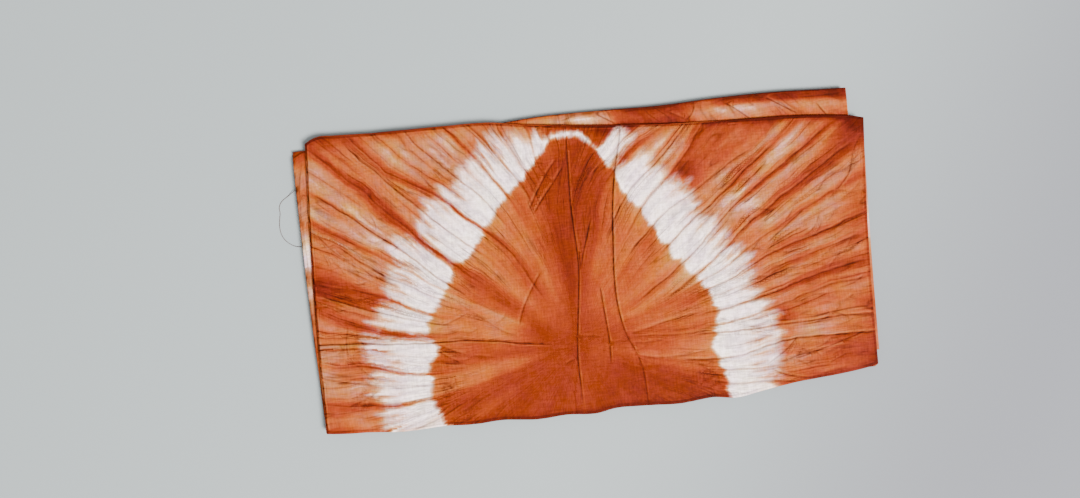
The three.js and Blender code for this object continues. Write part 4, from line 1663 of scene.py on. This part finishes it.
@dataclass(frozen=True)
class SilkFinish:
    """The dyed silk's look: its colours from undyed to full rust, its sheen and its weave.

    Lengths are in millimetres on the unfolded cloth.

    Attributes:
        white_shade_grey: The cool grey of the painted shade over parts of the white band.
        top_dye: The dye at the last colour.
        white_dye: The dye that the tied band took.
        full_dye: The dye along a pleat line, to which bleed_dye adds.
        thread_scale: How fast the weave's noise changes along a thread and across it.
        line_halo: The half width and the darkness of the soft shade beside a pleat line.
        fold_halo: The same beside other creases.
        painted_highlight_share: How much the painted highlight on the ridges beside the creases
            lightens the dye.
    """

    name: str = "dyed_silk"
    undyed: Colour = (0.97, 0.79, 0.76, 1.0)
    blush: Colour = (0.53, 0.272, 0.158, 1.0)
    tan: Colour = (0.312, 0.114, 0.044, 1.0)
    amber: Colour = (0.285, 0.062, 0.0125, 1.0)
    orange: Colour = (0.210, 0.0275, 0.0055, 1.0)
    rust: Colour = (0.136, 0.0140, 0.0040, 1.0)
    brown: Colour = (0.066, 0.0056, 0.0020, 1.0)
    crease: Colour = (0.034, 0.0046, 0.0020, 1.0)
    white_shade_grey: Colour = (0.50, 0.385, 0.405, 1.0)
    roughness: float = 0.6
    gloss: float = 0.02
    top_dye: float = 1.3
    white_dye: float = 0.02
    full_dye: float = 0.70
    bleed_dye: float = 0.30
    thread_scale: Point = (0.07, 0.62)
    weave_contrast: float = 0.66
    weave_height: float = 0.10
    line_width: float = 0.8
    line_dark: float = 0.78
    line_halo: Point = (2.4, 0.14)
    fold_dark: float = 0.80
    fold_halo: Point = (2.2, 0.12)
    fine_width: float = 0.62
    fine_dark: float = 0.62
    hairline_width: float = 0.034
    hairline_dark: float = 0.48
    line_depth: float = 0.45
    fine_depth: float = 0.30
    hairline_depth: float = 0.2
    painted_highlight_share: float = 0.28

    def streaks(
        self, tree: Shading, across: float, along: float, layer: float = 0.0, detail: float = 2.0,
        rough: float = 0.5,
    ) -> Sock:
        """Noise that is drawn out along the pleats.

        Args:
            tree: The material's tree.
            across: How fast it changes from pleat to pleat.
            along: Over how many millimetres it changes along a pleat.
            layer: Which of the like noises it is.
            detail: How much finer noise it holds.
            rough: How strong the finer noise is.

        Returns:
            The noise, about 0.
        """
        at = tree.vector(tree.stored("pleat") * across, tree.stored("reach") / along, layer)
        return tree.noise(at, 1.0, detail, rough)

    def threads(self, tree: Shading, across: float, along: float) -> Sock:
        """Noise that is drawn out along the weft or the warp."""
        at = tree.vector(tree.stored("across") * across, tree.stored("along") * along)
        return tree.noise(at, 1.0, 2.0)

    def stain(self, tree: Shading) -> Stain:
        """Works out the streaks, the white band and the dye that was drawn into it."""
        cloth = tree.vector(tree.stored("across"), tree.stored("along"))
        fibre = self.streaks(tree, 9.0, 22.0, 0.0, 3.0, 0.6)
        hair = self.streaks(tree, 30.0, 12.0, 3.0)
        feather = fibre * 9.0 + hair * 6.0
        into = tree.rising(tree.stored("band_in") + feather * 0.6, -3.0, 3.5)
        out = tree.rising(tree.stored("band_out") + feather, -7.0, 10.0)
        drawn = (tree.stored("bleed") * (fibre * 1.1 + hair * 0.5 + 1.0)).clipped()
        outer = tree.rising(tree.stored("band_in"), 18.0, 60.0) * 0.035
        mottle = tree.noise(cloth, 0.16, 4.0, 0.62)
        return Stain(cloth, fibre, hair, mottle, into * out, drawn, outer)

    def build(self) -> bpy.types.Material:
        """Builds the material."""
        tree = Shading(self.name)
        stain = self.stain(tree)
        groove, dark, painted_highlight = self.creases(tree, stain.cloth)
        # Painted highlight: the ridges beside the creases get less dye, so they look lit.
        dye = self.dye(tree, stain) * (1.0 - painted_highlight * self.painted_highlight_share)
        colour = self.colours(tree, stain, dye)
        colour = tree.mix(dark * (1.0 - stain.white * 0.35), colour, self.crease)
        drawn_out, fine = self.thread_scale
        weft = self.threads(tree, drawn_out, fine)
        warp = self.threads(tree, fine, drawn_out)
        slub = (weft + warp) * self.weave_contrast + 1.0
        woven = tree.mix(1.0, colour, tree.vector(slub, slub, slub), "MULTIPLY")
        pucker = tree.noise(stain.cloth, 0.22, 3.0, 0.55)
        ribbing = self.streaks(tree, 7.0, 30.0, 23.0)
        height = (weft + warp) * self.weave_height - groove + pucker * 0.55 + ribbing * 0.5
        bump = tree.add("ShaderNodeBump", {}, {"Strength": 1.0, "Distance": MM, "Height": height})
        shader = tree.add("ShaderNodeBsdfPrincipled", {}, {
            "Base Color": woven, "Roughness": stain.mottle * 0.2 + self.roughness,
            "Normal": bump, "Specular IOR Level": self.gloss,
        })
        return tree.finish(shader)

    def dye(self, tree: Shading, stain: Stain) -> Sock:
        """How much dye the silk holds, about 1 for full rust."""
        fibre, mottle = stain.fibre, stain.mottle
        grain = tree.noise(stain.cloth, 0.5, 2.0, 0.6)
        body = tree.stored("plain")
        past = tree.rising(tree.stored("band_in"), -30.0, 20.0) * 0.80 + 0.20
        patchy = (fibre * 0.30 + stain.hair * 0.18) * past + mottle * 0.26 + grain * 0.28
        stained = body + patchy * (body * 0.6 + 0.25)
        bare = (mottle + fibre * 0.8 + grain * 0.5) * 0.10 + self.white_dye + stain.outer
        dye = stained * (1.0 - stain.white) + bare * stain.white
        full = fibre * 0.25 + mottle * 0.2 + tree.stored("bleed") * self.bleed_dye + self.full_dye
        return dye + (full - dye).maths("MAXIMUM", 0.0) * stain.drawn

    def colours(self, tree: Shading, stain: Stain, dye: Sock) -> Sock:
        """The silk's colour for its dye, with the small differences of hue over it, and painted shade
        over the white band and towards the right.
        """
        stops = (
            (0.00, self.undyed), (0.10, self.blush), (0.22, self.tan), (0.40, self.amber),
            (0.56, self.orange), (0.74, self.rust), (1.00, self.brown),
        )
        ramp = tree.add("ShaderNodeValToRGB", {"stops": stops}, {0: dye / self.top_dye})
        mottle = stain.mottle
        streaky = self.streaks(tree, 3.1, 24.0, 31.0, 3.0, 0.6)
        bare = stain.white * (1.0 - stain.drawn)
        # Painted shade: a cool grey over parts of the bare white band, where small wrinkles shade it.
        painted_white_shade = tree.rising(streaky + mottle * 0.5, -0.10, 0.16) * bare * 0.75
        ramp = tree.mix(painted_white_shade, ramp, self.white_shade_grey)
        edge = tree.stored("band_in").bell(16.0) * 0.22 * (1.0 - stain.white)
        drift = tree.noise(stain.cloth, 0.045, 2.0)
        tint = 0.07 + mottle * 1.2 + stain.fibre + drift * 1.8 + edge - stain.outer * 4.0
        # Painted shade: the colour darkens towards the right of the cloth, where the light is dimmer.
        painted_dimming = 1.0 - tree.rising(tree.stored("across"), 40.0, 260.0) * 0.08
        blue = (painted_dimming - tint * 0.95 * (1.0 - bare * 0.95)).maths("MAXIMUM", 0.25)
        return tree.mix(1.0, ramp, tree.vector(painted_dimming, tint * 0.12 + painted_dimming, blue), "MULTIPLY")

    def creases(self, tree: Shading, cloth: Sock) -> tuple[Sock, Sock, Sock]:
        """The thin dark crease lines.

        Args:
            tree: The material's tree.
            cloth: The place on the cloth.

        Returns:
            How deep the grooves are, in millimetres, how dark the silk is in them, and the
            painted highlights on the ridges beside them.
        """
        broken = self.streaks(tree, 2.0, 9.0, 7.0) * 1.5 + 0.95
        uneven = tree.noise(cloth, 0.14, 2.0) * 1.6 + 0.95
        line, line_dark = tree.stored("line"), tree.stored("line_dark")
        fold, fold_dark = tree.stored("wrinkle"), tree.stored("wrinkle_dark")
        pleat_line = line.bell(self.line_width) * line_dark * broken
        pleat_halo = line.bell(self.line_halo[0]) * line_dark * self.line_halo[1]
        fold_line = fold.bell(self.line_width) * fold_dark * uneven
        fold_halo = fold.bell(self.fold_halo[0]) * fold_dark * self.fold_halo[1]
        fine = tree.stored("fine").bell(self.fine_width) * tree.stored("fine_dark") * broken
        contour = self.streaks(tree, 2.9, 60.0, 11.0, 1.5)
        patch = tree.rising(self.streaks(tree, 1.3, 40.0, 17.0, 1.0), -0.04, 0.16)
        away = tree.rising(tree.stored("reach"), 60.0, 120.0)
        hairline = contour.bell(self.hairline_width) * patch * away
        dark = pleat_line * self.line_dark + fold_line * self.fold_dark + pleat_halo + fold_halo
        dark = dark + fine * self.fine_dark + hairline * self.hairline_dark
        groove = (pleat_line + fold_line) * self.line_depth + fine * self.fine_depth
        groove = groove + hairline * self.hairline_depth
        # Painted highlights along the ridges beside the other creases and the pleat lines.
        painted_highlight = (fold - 1.9).bell(1.0) * fold_dark * uneven
        painted_highlight = painted_highlight + (line - 1.8).bell(0.9) * line_dark * broken
        return groove, dark.clipped(), painted_highlight.clipped()


@dataclass(frozen=True)
class ThreadFinish:
    """The loose silk yarn: one dyed colour, a little lighter in places."""

    name: str = "silk_thread"
    dyed: Colour = (0.040, 0.011, 0.006, 1.0)
    pale: Colour = (0.090, 0.028, 0.014, 1.0)
    roughness: float = 0.5
    patch_scale: float = 140.0
    fibre_scale: float = 2600.0
    fibre_height: float = 0.0001

    def build(self) -> bpy.types.Material:
        """Builds the material."""
        tree = Shading(self.name)
        at = tree.add("ShaderNodeTexCoord", {}, {}, "Object")
        patch = (tree.noise(at, self.patch_scale) + 0.5).clipped()
        fibre = tree.noise(at, self.fibre_scale)
        relief = {"Strength": 0.6, "Distance": self.fibre_height, "Height": fibre}
        shader = tree.add("ShaderNodeBsdfPrincipled", {}, {
            "Base Color": tree.mix(patch, self.dyed, self.pale),
            "Roughness": fibre * 0.2 + self.roughness,
            "Normal": tree.add("ShaderNodeBump", {}, relief),
        })
        return tree.finish(shader)


@dataclass(frozen=True)
class FloorFinish:
    """The pale, even surface under the cloth, with painted shade towards the front right."""

    name: str = "pale_surface"
    colour: Colour = (0.262, 0.288, 0.290, 1.0)
    painted_shade_colour: Colour = (0.155, 0.158, 0.172, 1.0)
    roughness: float = 0.75
    gloss: float = 0.2

    def build(self) -> bpy.types.Material:
        """Builds the material, with painted shade that makes it a little darker towards the front
        right.
        """
        tree = Shading(self.name)
        at = tree.add("ShaderNodeTexCoord", {}, {}, "Object")
        right, back = (tree.add("ShaderNodeSeparateXYZ", {}, {0: at}, way) for way in (0, 1))
        # Painted shade: the floor darkens towards the front right, where the light is dimmer.
        toward_painted_shade = tree.rising(right * 0.85 - back * 0.55, 0.02, 0.50)
        shader = tree.add("ShaderNodeBsdfPrincipled", {}, {
            "Base Color": tree.mix(toward_painted_shade, self.colour, self.painted_shade_colour),
            "Roughness": self.roughness, "Specular IOR Level": self.gloss,
        })
        return tree.finish(shader)


@dataclass(frozen=True)
class TwistedYarn:
    """Silk filaments twisted together along a route, made by geometry nodes.

    Lengths are in millimetres.
    """

    diameter: float = 0.6
    filaments: int = 3
    filament_diameter: float = 0.28
    turns_per_metre: float = 150.0
    loosening: float = 0.35
    sides: int = 6
    seed: int = 5

    def inputs(self, material: bpy.types.Material) -> dict[str, tuple[str, Any]]:
        """The tree's inputs: each one's kind of socket and its value."""
        twist = (self.diameter - self.filament_diameter) / 2
        return {
            "Filaments": ("NodeSocketInt", self.filaments),
            "Filament Radius": ("NodeSocketFloat", self.filament_diameter / 2 * MM),
            "Twist Radius": ("NodeSocketFloat", twist * MM),
            "Turns per Metre": ("NodeSocketFloat", self.turns_per_metre),
            "Loosening": ("NodeSocketFloat", self.loosening),
            "Sides": ("NodeSocketInt", self.sides),
            "Seed": ("NodeSocketInt", self.seed),
            "Material": ("NodeSocketMaterial", material),
        }

    def tree(self, inputs: dict[str, tuple[str, Any]]) -> bpy.types.NodeTree:
        """Builds the tree: filaments round the route, each a tube."""
        group = bpy.data.node_groups.new("twisted_yarn", "GeometryNodeTree")
        interface = group.interface
        interface.new_socket(name="Geometry", in_out="OUTPUT", socket_type="NodeSocketGeometry")
        interface.new_socket(name="Route", in_out="INPUT", socket_type="NodeSocketGeometry")
        for name, (kind, _) in inputs.items():
            interface.new_socket(name=name, in_out="INPUT", socket_type=kind)
        graph = Graph(group)
        given = graph.nodes.new("NodeGroupInput")
        take = {socket.name: Sock(graph, socket) for socket in given.outputs if socket.name}
        line = graph.add("GeometryNodeMeshToCurve", {}, {"Mesh": take["Route"]})
        copies = graph.add(
            "GeometryNodeDuplicateElements", {"domain": "SPLINE"},
            {"Geometry": line, "Amount": take["Filaments"]},
        )
        moved = graph.add("GeometryNodeSetPosition", {}, {
            "Geometry": copies, "Offset": self.offset(graph, take, copies),
        })
        section = graph.add("GeometryNodeCurvePrimitiveCircle", {"mode": "RADIUS"}, {
            "Resolution": take["Sides"], "Radius": take["Filament Radius"],
        })
        tubes = graph.add("GeometryNodeCurveToMesh", {}, {
            "Curve": moved, "Profile Curve": section, "Fill Caps": True,
        })
        whole = graph.add("GeometryNodeRealizeInstances", {}, {"Geometry": tubes})
        dressed = graph.add(
            "GeometryNodeSetMaterial", {}, {"Geometry": whole, "Material": take["Material"]},
        )
        graph.add("NodeGroupOutput", {}, {"Geometry": dressed})
        return group

    def offset(self, graph: Graph, take: dict[str, Sock], copies: Sock) -> Sock:
        """How far each point of each filament lies from the route."""
        number = Sock(graph, copies.socket.node.outputs["Duplicate Index"])
        chance = graph.add("FunctionNodeRandomValue", {}, {"ID": number, "Seed": take["Seed"]}, 1)
        along = graph.add("GeometryNodeSplineParameter", {}, {}, "Length")
        turns = (number + chance * 0.3) / take["Filaments"] + along * take["Turns per Metre"]
        angle = turns * (2.0 * math.pi)
        slack = graph.noise(graph.vector(along * 90.0, number * 7.3), 1.0)
        radius = take["Twist Radius"] * (1.0 + slack * take["Loosening"])
        normal = graph.add("GeometryNodeInputNormal", {}, {})
        tangent = graph.add("GeometryNodeInputTangent", {}, {})
        crossed = {"operation": "CROSS_PRODUCT"}
        side = graph.add("ShaderNodeVectorMath", crossed, {0: tangent, 1: normal})
        parts = [
            graph.add("ShaderNodeVectorMath", {"operation": "SCALE"}, {0: way, "Scale": size * radius})
            for way, size in ((normal, angle.maths("COSINE")), (side, angle.maths("SINE")))
        ]
        return graph.add("ShaderNodeVectorMath", {"operation": "ADD"}, dict(enumerate(parts)))

    def grow(self, thing: bpy.types.Object, material: bpy.types.Material) -> None:
        """Turns an object that holds the route into the yarn, as a plain mesh."""
        inputs = self.inputs(material)
        modifier = thing.modifiers.new("twisted_yarn", "NODES")
        modifier.node_group = self.tree(inputs)
        for item in modifier.node_group.interface.items_tree:
            if item.name in inputs:
                modifier[item.identifier] = inputs[item.name][1]
        evaluated = thing.evaluated_get(bpy.context.evaluated_depsgraph_get())
        mesh = bpy.data.meshes.new_from_object(evaluated)
        thing.modifiers.clear()
        thing.data = mesh
        mesh.polygons.foreach_set("use_smooth", np.ones(len(mesh.polygons), bool))


@dataclass
class LooseThread:
    """The silk yarn that has come out of the edge, lying in a shallow loop."""

    name: str = "loose_silk_thread"
    step: float = 0.45
    yarn: TwistedYarn = field(default_factory=TwistedYarn)
    route: tuple[tuple[float, float, float], ...] = (
        (-293.6, 108.4, 3.2), (-296.9, 107.1, 3.1), (-299.5, 105.6, 2.4), (-302.2, 104.0, 1.4),
        (-305.0, 102.4, 0.62), (-308.0, 100.7, 0.34), (-311.1, 98.6, 0.34), (-313.9, 95.6, 0.34),
        (-315.6, 91.2, 0.34), (-315.4, 85.6, 0.34), (-316.6, 79.3, 0.34), (-317.5, 71.4, 0.34),
        (-316.5, 63.4, 0.34), (-313.2, 57.1, 0.34), (-308.0, 52.2, 0.34), (-303.0, 49.5, 0.6),
        (-299.4, 48.6, 1.3), (-297.4, 48.3, 1.75), (-294.75, 48.2, 1.85),
    )

    def path(self) -> Array:
        """The smooth line through the route, in metres."""
        return catmull(self.route, self.step) * MM

    def build(self) -> bpy.types.Object:
        """Builds the yarn along its path."""
        points = self.path()
        mesh = bpy.data.meshes.new(self.name)
        steps = [(start, start + 1) for start in range(len(points) - 1)]
        mesh.from_pydata(points.tolist(), steps, [])
        thing = bpy.data.objects.new(self.name, mesh)
        bpy.context.scene.collection.objects.link(thing)
        self.yarn.grow(thing, ThreadFinish().build())
        return thing


@dataclass
class Studio:
    """The camera over the cloth, the pale surface and the soft light."""

    camera_height: float = 0.812
    lens: float = 26.0
    sensor_width: float = 36.0
    nearest: float = 0.05
    image_middle_px: Point = (540.0, 249.0)
    floor_size: float = 6.0
    key_place: tuple[float, float, float] = (2.1, -2.0, 3.9)
    key_size: float = 1.7
    key_power: float = 850.0
    sky: float = 0.92

    def build(self) -> None:
        """Sets up the camera, the surface and the lights."""
        self.add_camera()
        floor = self.add_floor()
        self.add_light()

    def add_camera(self) -> None:
        """Puts the camera straight over the cloth, turned as the photograph is."""
        data = bpy.data.cameras.new("overhead_camera")
        data.lens = self.lens
        data.sensor_width = self.sensor_width
        data.clip_start = self.nearest
        camera = bpy.data.objects.new("overhead_camera", data)
        x, y = PHOTO.plan(*self.image_middle_px)
        camera.location = (float(x) * MM, float(y) * MM, self.camera_height)
        camera.rotation_euler = (0.0, 0.0, -math.radians(PHOTO.turn_deg))
        bpy.context.scene.collection.objects.link(camera)
        bpy.context.scene.camera = camera

    def add_floor(self) -> bpy.types.Object:
        """The surface that the cloth lies on."""
        half = self.floor_size / 2
        mesh = bpy.data.meshes.new("surface")
        corners = [(-half, -half, 0), (half, -half, 0), (half, half, 0), (-half, half, 0)]
        mesh.from_pydata(corners, [], [(0, 1, 2, 3)])
        mesh.materials.append(FloorFinish().build())
        floor = bpy.data.objects.new("surface", mesh)
        bpy.context.scene.collection.objects.link(floor)
        return floor

    def add_light(self) -> None:
        """One large soft lamp from the front right, and an even sky."""
        lamp = bpy.data.lights.new("key_light", "AREA")
        lamp.energy = self.key_power
        lamp.size = self.key_size
        key = bpy.data.objects.new("key_light", lamp)
        key.location = self.key_place
        key.rotation_euler = (-Vector(self.key_place)).to_track_quat("-Z", "Y").to_euler()
        bpy.context.scene.collection.objects.link(key)
        world = bpy.data.worlds.new("soft_sky")
        world.use_nodes = True
        background = world.node_tree.nodes["Background"]
        background.inputs["Color"].default_value = (1.0, 1.0, 1.0, 1.0)
        background.inputs["Strength"].default_value = self.sky
        bpy.context.scene.world = world


def report(piece: bpy.types.Object) -> None:
    """Says what was made."""
    LOG.info("%s: %d faces", piece.name, len(piece.data.polygons))


def main() -> None:
    """Builds the studio, the thread and the cloth."""
    logging.basicConfig(level=logging.INFO, format="%(message)s")
    Studio().build()

    loose = LooseThread()
    thread = loose.build()
    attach(thread, "root")
    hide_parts("loose_thread")
    tuple(value * MM for value in loose.route[0])
    report(thread)

    silk = FoldedSilk()
    cloth = silk.build()
    cloth.data.materials.append(SilkFinish().build())
    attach(cloth, "root")
    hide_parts("folded_cloth")
    report(cloth)


if __name__ == "__main__":
    main()
